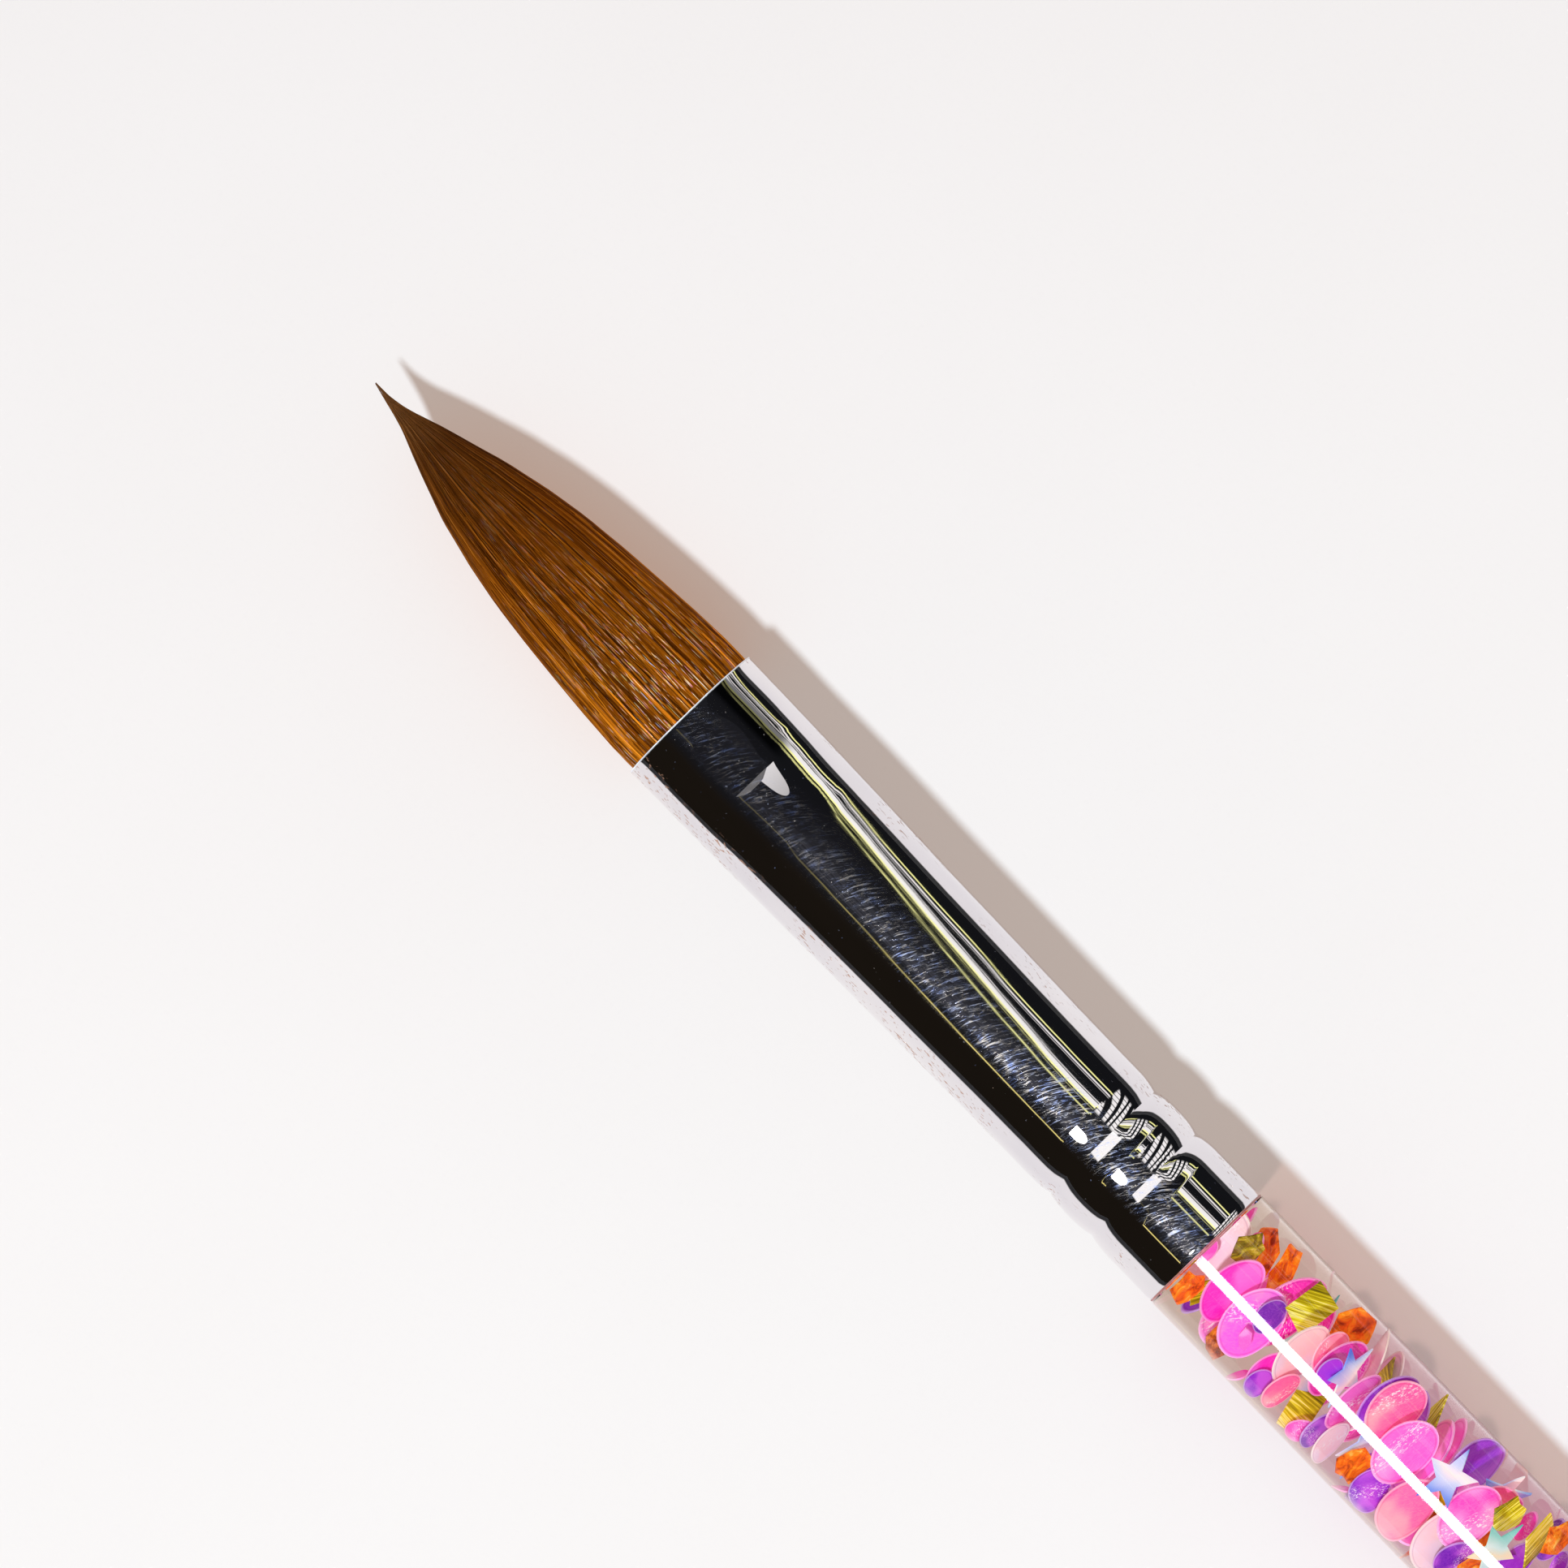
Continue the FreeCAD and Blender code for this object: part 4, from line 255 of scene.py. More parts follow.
def mark_wall(o, r_min, planar=0.12):
    """Marks the curved faces of a node's outer wall."""
    me = o.data
    n = len(me.polygons)
    c = np.empty(n * 3, np.float32)
    me.polygons.foreach_get("center", c)
    c = c.reshape(-1, 3)
    pn = np.empty(n * 3, np.float32)
    me.polygons.foreach_get("normal", pn)
    pn = pn.reshape(-1, 3)
    start = np.empty(n, np.int32)
    me.polygons.foreach_get("loop_start", start)
    cn = np.empty(len(me.loops) * 3, np.float32)
    me.corner_normals.foreach_get("vector", cn)
    cn = cn.reshape(-1, 3)
    dev = np.stack([np.degrees(np.arccos(np.clip((cn[start + k] * pn).sum(1), -1, 1))) for k in range(3)], 1).max(1)
    out = (c[:, 1] * pn[:, 1] + c[:, 2] * pn[:, 2]) > 0
    wall = (dev > planar) & out & (np.hypot(c[:, 1], c[:, 2]) > r_min) & (np.abs(pn[:, 0]) < 0.5)
    at = me.attributes.new("wall", "FLOAT", "FACE")
    at.data.foreach_set("value", wall.astype(np.float32))


# ---------------------------------------------------------------- materials
def hair_material(name="hair", core=False):
    t = Tree(name)
    along = t.attr("along")
    rnd = t.attr("rnd")
    side = t.attr("side")
    base = t.ramp(along, [
        (0.00, srgb(152, 85, 12)), (0.08, srgb(150, 82, 10)), (0.17, srgb(140, 76, 8)), (0.33, srgb(130, 68, 7)),
        (0.50, srgb(118, 60, 6)), (0.67, srgb(98, 50, 8)), (0.80, srgb(86, 45, 12)), (0.88, srgb(112, 68, 30)), (1.00, srgb(126, 82, 46))])
    # each hair has its own depth of colour, most of all near the mouth; the darkest end of the range is painted shade
    # between hairs, the brightest end painted highlights along lit hairs
    tone = t.ramp(rnd, [(0.0, (0.10, 0.07, 0.05)), (0.10, (0.24, 0.18, 0.12)), (0.28, (0.56, 0.50, 0.42)), (0.50, (0.92, 0.91, 0.88)), (0.72, (1.34, 1.42, 1.5)), (0.92, (2.1, 2.5, 3.4)), (1.0, (3.0, 3.9, 6.5))])
    grade = t.ramp(along, [(0.0, (1.0, 1.0, 1.0)), (0.30, (0.96, 0.96, 0.96)), (0.55, (0.86, 0.86, 0.86)), (0.80, (0.62, 0.62, 0.62)), (1.0, (0.50, 0.50, 0.50))])
    tone = t.mix((grade, 0), (1.0, 1.0, 1.0, 1), (tone, 0))
    col = t.mix(1.0, (base, 0), tone, "MULTIPLY")
    # slow change of tone along each hair
    vec = t.nt.nodes.new("ShaderNodeCombineXYZ")
    t.set(vec, "i0", t.math("MULTIPLY", along, 9.0))
    t.set(vec, "i1", t.math("MULTIPLY", rnd, 173.0))
    t.set(vec, "i2", t.math("MULTIPLY", side, 3.0))
    n1 = t.noise(vec, 1.0, 3.0, 0.6)
    col = t.mix(0.5, col, (t.ramp((n1, 0), [(0.25, (0.50, 0.47, 0.42)), (0.5, (1, 1, 1)), (0.75, (1.55, 1.5, 1.45))]), 0), "MULTIPLY")
    # short glints, strongest near the mouth
    vec2 = t.nt.nodes.new("ShaderNodeCombineXYZ")
    t.set(vec2, "i0", t.math("MULTIPLY", along, 17.0))
    t.set(vec2, "i1", t.math("MULTIPLY", rnd, 911.0))
    t.set(vec2, "i2", t.math("MULTIPLY", side, 2.0))
    n2 = t.noise(vec2, 1.0, 1.0, 0.5)
    near = t.curve(along, [(0.0, 1.0), (0.12, 0.9), (0.22, 0.5), (0.36, 0.22), (0.6, 0.08), (1.0, 0.04)])
    near = t.math("MULTIPLY", near, t.range(side, 0.20, 0.80, 1.0, 0.30, True))
    gl = t.math("MULTIPLY", t.range((n2, 0), 0.60, 0.68), near, clamp=True)
    hue = t.ramp((t.noise(vec2, 2.3, 0.0), 0), [(0.30, srgb(255, 214, 110)), (0.45, srgb(255, 246, 216)), (0.56, srgb(250, 150, 190)), (0.64, srgb(255, 232, 90)), (0.75, srgb(196, 214, 255))])
    col = t.mix((gl, 0), col, (hue, 0))
    # painted shade: the inner mass of hair is darkened most of the way to black, as if in the shadow of the top layer
    if core:
        col = t.mix(0.72, col, (0.012, 0.005, 0.001, 1))
    p = t.n("BsdfPrincipled", None, Base_Color=col, Roughness=0.38)
    t.set(p, "Specular IOR Level", 0.24)
    t.set(p, "Specular Tint", (*srgb(255, 170, 70), 1.0))
    # light comes through the loose bundle, so what lies beside it is not left dark
    ray = t.nt.nodes.new("ShaderNodeLightPath")
    through = t.n("Emission", None, Color=t.mix((t.noise(vec, 0.6, 1.0), 0), (0.66, 0.36, 0.22, 1), (0.58, 0.29, 0.17, 1)), Strength=1.0)
    m = t.nt.nodes.new("ShaderNodeMixShader")
    t.set(m, "i0", t.math("MULTIPLY", ray.outputs["Is Diffuse Ray"], t.math("GREATER_THAN", ray.outputs["Ray Length"], 0.0009)))
    t.set(m, "i1", p)
    t.set(m, "i2", through)
    t.mat.cycles.emission_sampling = "NONE"
    return t.surface(m)


def chrome_material():
    t = Tree("chromed_sheet")
    co = t.coord()
    s = t.xyz(co)
    X, Y = (s, 0), (s, 1)
    # fine lengthwise drawing lines
    fine = t.noise(t.mapping(co, (500, 9000, 9000)), 1.0, 2.0, 0.6)
    patch = t.noise(t.mapping(co, (150, 420, 420)), 1.0, 2.0, 0.5)
    # wiping marks: short curved strokes across the top, thickest towards the crimps
    bend = t.math("MULTIPLY", t.math("MULTIPLY", Y, Y), 150.0)
    vec = t.nt.nodes.new("ShaderNodeCombineXYZ")
    t.set(vec, "i0", t.math("ADD", t.math("MULTIPLY", t.math("ADD", t.math("SUBTRACT", X, bend), t.math("MULTIPLY", Y, -0.55)), 7600.0), 0.0))
    t.set(vec, "i1", t.math("MULTIPLY", Y, 800.0))
    stroke = t.noise(vec, 1.0, 2.0, 0.62, 0.35)
    vec2 = t.nt.nodes.new("ShaderNodeCombineXYZ")
    t.set(vec2, "i0", t.math("MULTIPLY", t.math("ADD", X, t.math("MULTIPLY", Y, -0.6)), 3600.0))
    t.set(vec2, "i1", t.math("MULTIPLY", Y, 620.0))
    t.set(vec2, "i2", 7.0)
    stroke2 = t.noise(vec2, 1.0, 3.0, 0.7, 0.5)
    zone_y = t.curve(Y, [(-0.0016, 0.0), (-0.0011, 0.35), (-0.0006, 1.0), (0.0, 0.9), (0.0006, 0.5), (0.0012, 0.08), (0.0016, 0.0)])
    zone_x = t.curve(X, [(-0.040, 0.10), (-0.034, 0.14), (-0.028, 0.30), (-0.024, 0.75), (-0.018, 0.85), (-0.011, 1.15), (0.0, 1.1)])
    zone = t.math("MULTIPLY", zone_y, zone_x)
    scuffm = t.math("ADD", t.range((stroke, 0), 0.57, 0.635), t.math("MULTIPLY", t.range(t.math("ABSOLUTE", t.math("SUBTRACT", (stroke2, 0), 0.5)), 0.003, 0.020, 1.0, 0.0), 0.70))
    scuffm = t.math("MULTIPLY", t.math("MULTIPLY", scuffm, zone), t.range((patch, 0), 0.36, 0.54, 0.28, 1.0), clamp=True)
    dust = t.n("TexVoronoi", None, Vector=co, Scale=2600.0, Randomness=1.0)
    dustm = t.range((dust, 0), 0.05, 0.12, 1.0, 0.0)
    dustp = t.range((t.noise(co, 700.0, 1.0), 0), 0.50, 0.62)
    dustm = t.math("MULTIPLY", t.math("MULTIPLY", dustm, dustp), t.math("ADD", 0.35, zone), clamp=True)
    rough = t.math("ADD", t.range((fine, 0), 0.3, 0.8, 0.010, 0.035), t.math("MULTIPLY", scuffm, 0.05))
    col = t.mix((t.range((patch, 0), 0.3, 0.7), 0), (*srgb(240, 236, 238), 1), (*srgb(230, 226, 231), 1))
    # towards the pressed mouth the sheet turns away from the brightest part of the room
    turn = t.math("MULTIPLY", t.range(X, -0.0346, -0.0332, 1.0, 0.0, True), t.range(Y, 0.00264, 0.00274, 1.0, 0.0))
    turn = t.math("MULTIPLY", turn, t.range(Y, 0.0016, 0.0019, 0.0, 1.0))
    col = t.mix(t.math("MULTIPLY", turn, 0.84), col, (0.02, 0.022, 0.024, 1))
    # a slow unevenness of the sheet draws the reflections out into wavering lines
    wave = t.noise(t.mapping(co, (40, 380, 380)), 1.0, 1.0, 0.4)
    lean = t.nt.nodes.new("ShaderNodeVectorMath")
    t.set(lean, "i0", wall_normal(t, True))
    lean.inputs[1].default_value = (-0.006, 0.0, 0.0)
    unit = t.nt.nodes.new("ShaderNodeVectorMath")
    unit.operation = "NORMALIZE"
    t.set(unit, "i0", lean)
    bump = t.bump((wave, 0), 0.10, 0.00003)
    t.set(bump, "Normal", unit)
    p = t.n("BsdfPrincipled", None, Base_Color=col, Metallic=1.0, Roughness=rough, Normal=bump)
    # dust and strokes scatter a little cold light
    hue = t.ramp((t.noise(co, 1900.0, 1.0), 0), [(0.30, srgb(150, 176, 250)), (0.48, srgb(206, 214, 240)), (0.60, srgb(236, 226, 214)), (0.70, srgb(170, 190, 250))])
    d = t.n("BsdfPrincipled", None, Base_Color=(hue, 0), Roughness=0.5)
    f = t.math("ADD", t.math("MULTIPLY", scuffm, 0.80), t.math("MULTIPLY", dustm, 0.60), clamp=True)
    m = t.nt.nodes.new("ShaderNodeMixShader")
    t.set(m, "i0", f)
    t.set(m, "i1", p)
    t.set(m, "i2", d)
    # brown specks along both flanks
    flank = t.range(t.math("ABSOLUTE", Y), 0.0031, 0.0034)
    sp = t.noise(t.mapping(co, (2600, 6400, 6400)), 1.0, 1.0, 0.5)
    spm = t.math("MULTIPLY", t.math("MULTIPLY", t.range((sp, 0), 0.62, 0.67), t.range((t.noise(co, 260.0, 1.0), 0), 0.46, 0.58)), flank)
    sd = t.n("BsdfPrincipled", None, Base_Color=srgb(168, 128, 108), Roughness=0.7)
    m1 = t.nt.nodes.new("ShaderNodeMixShader")
    t.set(m1, "i0", t.math("MULTIPLY", spm, 0.85))
    t.set(m1, "i1", m)
    t.set(m1, "i2", sd)
    # the cut lip at the mouth is dull and bright; its pale colour is partly a painted highlight, standing in for the
    # light its edge catches
    lip = t.range(X, MOUTH + 0.00003, MOUTH + 0.00010, 1.0, 0.0)
    lp = t.n("BsdfPrincipled", None, Base_Color=srgb(236, 240, 248), Metallic=0.3, Roughness=0.5)
    m2 = t.nt.nodes.new("ShaderNodeMixShader")
    t.set(m2, "i0", lip)
    t.set(m2, "i1", m1)
    t.set(m2, "i2", lp)
    # matt things nearby receive the light the polish throws back
    pale = t.n("Emission", None, Color=(0.72, 0.61, 0.55), Strength=0.86)
    ray = t.nt.nodes.new("ShaderNodeLightPath")
    m3 = t.nt.nodes.new("ShaderNodeMixShader")
    t.set(m3, "i0", (ray, 2))
    t.set(m3, "i1", m2)
    t.set(m3, "i2", pale)
    return t.surface(m3)


def glass_material(name="clear_tube", tint=(0.998, 0.990, 0.992), cast=(0.30, 0.17, 0.13)):
    t = Tree(name)
    co = t.coord()
    streak = t.noise(t.mapping(co, (30, 5200, 5200)), 1.0, 2.0, 0.55)
    rough = t.range((streak, 0), 0.40, 0.75, 0.0, 0.012)
    g = t.n("BsdfPrincipled", None, Base_Color=(*tint, 1), Roughness=rough, IOR=1.49, Normal=wall_normal(t, False))
    t.set(g, "Transmission Weight", 1.0)
    # the contents are lit through the wall; things outside lie in the tube's pink shadow
    geo = t.nt.nodes.new("ShaderNodeNewGeometry")
    lp = t.nt.nodes.new("ShaderNodeLightPath")
    inward = t.math("MULTIPLY", (lp, 1), t.math("SUBTRACT", 1.0, (geo, 6)))
    tr = t.n("BsdfTransparent", None, Color=t.mix(inward, (0.97, 0.955, 0.96, 1), (*cast, 1)))
    # high on the far side the wall mirrors nothing bright until its very edge
    py = t.math("MULTIPLY", (t.xyz(co), 1), 1000.0)
    nrm = wall_normal(t, False)
    ref = t.n("BsdfRefraction", None, Color=(*tint, 1), Roughness=rough, IOR=1.49, Normal=nrm)
    edge = t.math("MULTIPLY", t.range(py, 3.0, 3.2), t.range(py, 3.70, 3.78, 1.0, 0.0))
    ga = t.nt.nodes.new("ShaderNodeMixShader")
    t.set(ga, "i0", t.math("MULTIPLY", edge, 0.85))
    t.set(ga, "i1", g)
    t.set(ga, "i2", ref)
    # low on the near side it gathers the light of the table
    pale = t.n("Emission", None, Color=(0.93, 0.80, 0.78), Strength=1.0)
    gb = t.nt.nodes.new("ShaderNodeMixShader")
    t.set(gb, "i0", t.math("MULTIPLY", t.range(py, -3.98, -3.45, 0.60, 0.0), (lp, 0)))
    t.set(gb, "i1", ga)
    t.set(gb, "i2", pale)
    g = gb
    t.mat.cycles.emission_sampling = "NONE"
    f = t.math("MAXIMUM", (lp, 1), (lp, 2))      # shadow ray, diffuse ray
    m = t.nt.nodes.new("ShaderNodeMixShader")
    t.set(m, "i0", f)
    t.set(m, "i1", g)
    t.set(m, "i2", tr)
    return t.surface(m)


def wetted_material():
    """A clear wall wetted by clear liquid of the same index: it can hardly be seen."""
    t = Tree("clear_wetted")
    n = t.noise(t.coord(), 400.0, 1.0)
    tr = t.n("BsdfTransparent", None, Color=(t.ramp((n, 0), [(0.0, (0.992, 0.986, 0.99)), (1.0, (1, 1, 1))]), 0))
    return t.surface(tr)


FILL_COLOURS = {
    "magenta": [srgb(246, 20, 168), srgb(255, 38, 200), srgb(226, 8, 150), srgb(255, 128, 222)],
    "pink": [srgb(255, 78, 198), srgb(255, 112, 212), srgb(250, 46, 176), srgb(255, 168, 226)],
    "orchid": [srgb(250, 96, 218), srgb(255, 128, 228), srgb(236, 66, 204), srgb(255, 170, 196)],
    "salmon": [srgb(255, 96, 166), srgb(255, 128, 176), srgb(250, 66, 152), srgb(255, 186, 184)],
    "violet": [srgb(128, 26, 196), srgb(176, 44, 222), srgb(88, 18, 158), srgb(220, 104, 238)],
    "pearl": [srgb(255, 204, 214), srgb(252, 228, 204), srgb(252, 178, 220), srgb(242, 222, 240)],
}
FOIL_COLOURS = {
    # painted shade, body colour, painted light, painted gleam
    "silver": [srgb(52, 84, 214), srgb(122, 164, 240), srgb(206, 232, 250), srgb(250, 252, 236)],
    "mint": [srgb(60, 150, 150), srgb(132, 216, 196), srgb(216, 248, 232), srgb(250, 240, 190)],
    "gold": [srgb(96, 84, 6), srgb(184, 164, 10), srgb(240, 224, 44), srgb(255, 246, 150)],
    "orange": [srgb(150, 52, 4), srgb(240, 104, 8), srgb(255, 150, 26), srgb(255, 206, 90)],
    "copper": [srgb(92, 38, 10), srgb(176, 82, 18), srgb(232, 126, 36), srgb(255, 190, 90)],
    "olive": [srgb(60, 52, 8), srgb(134, 116, 14), srgb(190, 172, 34), srgb(238, 220, 110)],
}


def sequin_material(colour):
    c = FILL_COLOURS[colour]
    t = Tree("sequin_" + colour)
    pid = t.attr("pid")
    loc = t.attr("loc", 1)
    s = t.xyz(loc)
    r = t.nt.nodes.new("ShaderNodeVectorMath")
    r.operation = "LENGTH"
    t.set(r, "i0", loc)
    r = (r, 1)
    col = t.ramp(pid, [(0.0, c[0]), (0.34, c[1]), (0.62, c[2]), (0.8, c[0]), (1.0, c[1])], "LINEAR")
    # pearly sweep from one side to the other, different on each piece: partly the pearly finish, partly a painted sheen
    vec = t.nt.nodes.new("ShaderNodeCombineXYZ")
    t.set(vec, "i0", t.math("MULTIPLY", (s, 0), 0.8))
    t.set(vec, "i1", t.math("MULTIPLY", (s, 1), 0.8))
    t.set(vec, "i2", t.math("MULTIPLY", pid, 57.0))
    sweep = t.noise(vec, 0.9, 1.0)
    col = t.mix((t.range((sweep, 0), 0.50, 0.68, 0.0, 0.62, True), 0), (col, 0), (*c[3], 1))
    # painted glints: rows of small pale highlights, as off an embossed coating, mostly on one part of a piece, over a
    # softer painted mottle of light
    vec2 = t.nt.nodes.new("ShaderNodeCombineXYZ")
    t.set(vec2, "i0", t.math("MULTIPLY", (s, 0), 8.0))
    t.set(vec2, "i1", t.math("MULTIPLY", (s, 1), 17.0))
    t.set(vec2, "i2", t.math("MULTIPLY", pid, 91.0))
    crk = t.noise(vec2, 1.0, 2.0, 0.6, 0.8)
    off = t.math("SUBTRACT", t.math("MULTIPLY", t.math("FRACT", t.math("MULTIPLY", pid, 7.31)), 0.9), 0.45)
    row = t.range(t.math("ABSOLUTE", t.math("SUBTRACT", (s, 1), off)), 0.12, 0.42, 1.0, 0.0, True)
    some = t.range(t.math("FRACT", t.math("MULTIPLY", pid, 13.7)), 0.35, 0.45)
    glint_mask = t.math("MULTIPLY", t.math("MULTIPLY", t.range((crk, 0), 0.54, 0.62), row), some, clamp=True)
    soft = t.math("MULTIPLY", t.range((crk, 0), 0.35, 0.70, 0.0, 1.0, True), 0.20)
    col = t.mix(soft, col, (*c[3], 1))
    col = t.mix((t.math("MULTIPLY", glint_mask, 0.80), 0), col, (1.0, 0.90, 0.90, 1))
    # thin violet line, and a painted highlight along the rim
    col = t.mix((t.math("MULTIPLY", t.range(t.math("ABSOLUTE", t.math("SUBTRACT", r, 0.905)), 0.012, 0.03, 1.0, 0.0), 0.30), 0), col, (*[x * 0.45 for x in c[2]], 1))
    rim_highlight = t.range(r, 0.93, 0.985, 0.0, 0.60)
    col = t.mix((rim_highlight, 0), col, (*[min(1.0, x * 0.5 + 0.46) for x in c[1]], 1))
    bump = t.bump(t.math("ADD", (crk, 0), t.math("MULTIPLY", (sweep, 0), 0.5)), 0.20, 0.00004)
    p = t.n("BsdfPrincipled", None, Base_Color=col, Roughness=0.30, Metallic=0.05, Normal=bump)
    t.set(p, "Coat Weight", 0.5)
    t.set(p, "Coat Roughness", 0.10)
    # painted glow: each piece gives off a little of its own colour, though it is no lamp
    t.set(p, "Emission Color", col)
    t.set(p, "Emission Strength", 0.14 if colour not in ("violet", "pearl") else 0.05)
    return t.surface(p)


def foil_material(colour):
    c = FOIL_COLOURS[colour]
    t = Tree("foil_" + colour)
    pid = t.attr("pid")
    loc = t.attr("loc", 1)
    s = t.xyz(loc)
    vec = t.nt.nodes.new("ShaderNodeCombineXYZ")
    t.set(vec, "i0", (s, 0))
    t.set(vec, "i1", (s, 1))
    t.set(vec, "i2", t.math("MULTIPLY", pid, 41.0))
    crumple = colour in ("orange", "copper", "olive")
    star = colour in ("silver", "mint")
    n = t.noise(vec, 1.7 if crumple else 0.8, 3.0 if crumple else 1.0, 0.6, 0.8)
    fold = t.n("TexVoronoi", {"feature": "F1"}, Vector=vec, Scale=1.7, Randomness=1.0)
    # painted light and shade: each piece runs from its shade colour to its gleam, across it for stars and gold and in
    # patches for crumpled foil; for stars partly their holographic colour
    sweep = t.math("ADD", t.math("MULTIPLY", (s, 0), 0.42 if star else 0.30), 0.5)
    if star:
        fac = t.math("ADD", t.math("MULTIPLY", sweep, 0.8), t.math("MULTIPLY", (n, 0), 0.25))
        col = t.ramp(fac, [(0.12, c[0]), (0.34, c[1]), (0.50, c[2]), (0.60, c[3]), (0.70, c[2]), (0.88, c[1])])
    elif colour == "gold":
        lines = t.noise(t.mapping(loc, (9, 0.4, 1)), 1.0, 2.0, 0.6)
        fac = t.math("ADD", t.math("MULTIPLY", sweep, 0.35), t.math("MULTIPLY", (lines, 0), 0.65))
        col = t.ramp(fac, [(0.34, c[0]), (0.46, c[1]), (0.54, c[2]), (0.60, c[3]), (0.66, c[1]), (0.8, c[0])])
    else:
        col = t.ramp((n, 0), [(0.30, c[0]), (0.46, c[1]), (0.60, c[2]), (0.70, c[3])])
    h = t.math("ADD", (n, 0), t.math("MULTIPLY", (fold, 0), 0.8 if crumple else 0.1))
    bump = t.bump(h, 0.9 if crumple else 0.25, 0.00025 if crumple else 0.00006)
    p = t.n("BsdfPrincipled", None, Base_Color=(col, 0), Roughness=0.24 if crumple else 0.18, Metallic=0.35 if star else 0.28, Normal=bump)
    # painted glow: the foil gives off a little of its own colour, though it is no lamp
    t.set(p, "Emission Color", (col, 0))
    t.set(p, "Emission Strength", 0.22 if star else 0.20)
    return t.surface(p)


def plain_material(name, a, b, rough=0.4, scale=600.0, metallic=0.0, bump=0.15):
    t = Tree(name)
    n = t.noise(t.coord(), scale, 2.0)
    col = t.mix((n, 0), (*a, 1), (*b, 1))
    p = t.n("BsdfPrincipled", None, Base_Color=col, Roughness=(t.range((n, 0), 0.2, 0.8, rough * 0.8, min(1.0, rough * 1.2)), 0), Metallic=metallic,
            Normal=t.bump((n, 0), bump, 0.00005))
    return t.surface(p)


hair_mat = hair_material()
core_mat = hair_material("hair_core", True)
chrome = chrome_material()
glass = glass_material()
plugglass = glass_material("clear_plug", (0.99, 0.98, 0.985))
wetted = wetted_material()


# ---------------------------------------------------------------- small mesh tools
def pieces_of(me):
    """Label the separate pieces of a mesh, joining vertices that share a place."""
    nv = len(me.vertices)
    co = np.empty(nv * 3, np.float32)
    me.vertices.foreach_get("co", co)
    co = co.reshape(-1, 3)
    key = np.round(co * 1e7).astype(np.int64)
    _, inv = np.unique(key, axis=0, return_inverse=True)
    inv = inv.reshape(-1)
    parent = np.arange(inv.max() + 1)

    def find(a):
        while parent[a] != a:
            parent[a] = parent[parent[a]]
            a = parent[a]
        return a
    tri = []
    for p in me.polygons:
        v = [inv[i] for i in p.vertices]
        r = find(v[0])
        for q in v[1:]:
            s = find(q)
            if s != r:
                parent[s] = r
    root = np.array([find(a) for a in inv])
    _, lab = np.unique(root, return_inverse=True)
    return co, lab.reshape(-1)


def describe_plates(o, seed):
    """Give each loose plate its own number and its own flat coordinates."""
    me = o.data
    co, lab = pieces_of(me)
    rng = np.random.default_rng(seed)
    nlab = lab.max() + 1
    pid = rng.uniform(0, 1, nlab)
    loc = np.zeros_like(co)
    for k in range(nlab):
        m = lab == k
        p = co[m]
        c = np.unique(np.round(p, 8), axis=0).mean(0)
        q = p - c
        u, s, vt = np.linalg.svd(q, full_matrices=False)
        rad = np.linalg.norm(q, axis=1).max()
        a = rng.uniform(0, 2 * np.pi)
        e0 = math.cos(a) * vt[0] + math.sin(a) * vt[1]
        e1 = -math.sin(a) * vt[0] + math.cos(a) * vt[1]
        loc[m, 0] = q @ e0 / rad
        loc[m, 1] = q @ e1 / rad
    at = me.attributes.new("pid", "FLOAT", "POINT")
    at.data.foreach_set("value", pid[lab].astype(np.float32))
    at = me.attributes.new("loc", "FLOAT_VECTOR", "POINT")
    at.data.foreach_set("vector", loc.astype(np.float32).ravel())


def set_mat(o, *mats):
    o.data.materials.clear()
    for m in mats:
        o.data.materials.append(m)


# ---------------------------------------------------------------- CAD nodes' finishes
made = {}
for i, (name, o) in enumerate(sorted(nodes.items())):
    kind, _, colour = name.partition("_")
    if colour in FILL_COLOURS and kind in ("disc1", "disc15", "disc2", "disc3", "petal"):
        if colour not in made:
            made[colour] = sequin_material(colour)
        set_mat(o, made[colour])
        describe_plates(o, 100 + i)
    elif colour in FOIL_COLOURS:
        if colour not in made:
            made[colour] = foil_material(colour)
        set_mat(o, made[colour])
        describe_plates(o, 100 + i)


def split_bore(o, outer_mat, inner_mat, r_limit):
    """Faces on the wetted inner wall get the wetted finish."""
    set_mat(o, outer_mat, inner_mat)
    me = o.data
    n = len(me.polygons)
    c = np.empty(n * 3, np.float32)
    me.polygons.foreach_get("center", c)
    c = c.reshape(-1, 3)
    nr = np.empty(n * 3, np.float32)
    me.polygons.foreach_get("normal", nr)
    nr = nr.reshape(-1, 3)
    rad = np.hypot(c[:, 1], c[:, 2])
    inner = (rad < r_limit) & (np.abs(nr[:, 0]) < 0.5)
    me.polygons.foreach_set("material_index", inner.astype(np.int32))


set_mat(nodes["ferrule"], chrome)
mark_wall(nodes["ferrule"], 3.12 * MM)
mark_wall(nodes["handle_tube"], 3.90 * MM)
mark_wall(nodes["rear_plug"], 3.90 * MM)
split_bore(nodes["handle_tube"], glass, wetted, 3.3 * MM)
split_bore(nodes["rear_plug"], plugglass, wetted, 3.2 * MM)
split_bore(nodes["rear_cement"], wetted, wetted, 3.2 * MM)
split_bore(nodes["front_cement"], wetted, wetted, 3.2 * MM)
set_mat(nodes["front_plug"], plain_material("front_plug_plastic", srgb(226, 214, 206), srgb(206, 190, 184), 0.3))
set_mat(nodes["shoulder_glue"], plain_material("seam_glue", srgb(120, 62, 52), srgb(196, 130, 130), 0.35, 3000.0))
set_mat(nodes["root_thread"], plain_material("thread", srgb(214, 208, 196), srgb(176, 168, 150), 0.8, 5000.0, 0.0, 0.5))
set_mat(nodes["root_glue"], plain_material("epoxy", srgb(176, 134, 66), srgb(140, 98, 44), 0.3, 500.0))


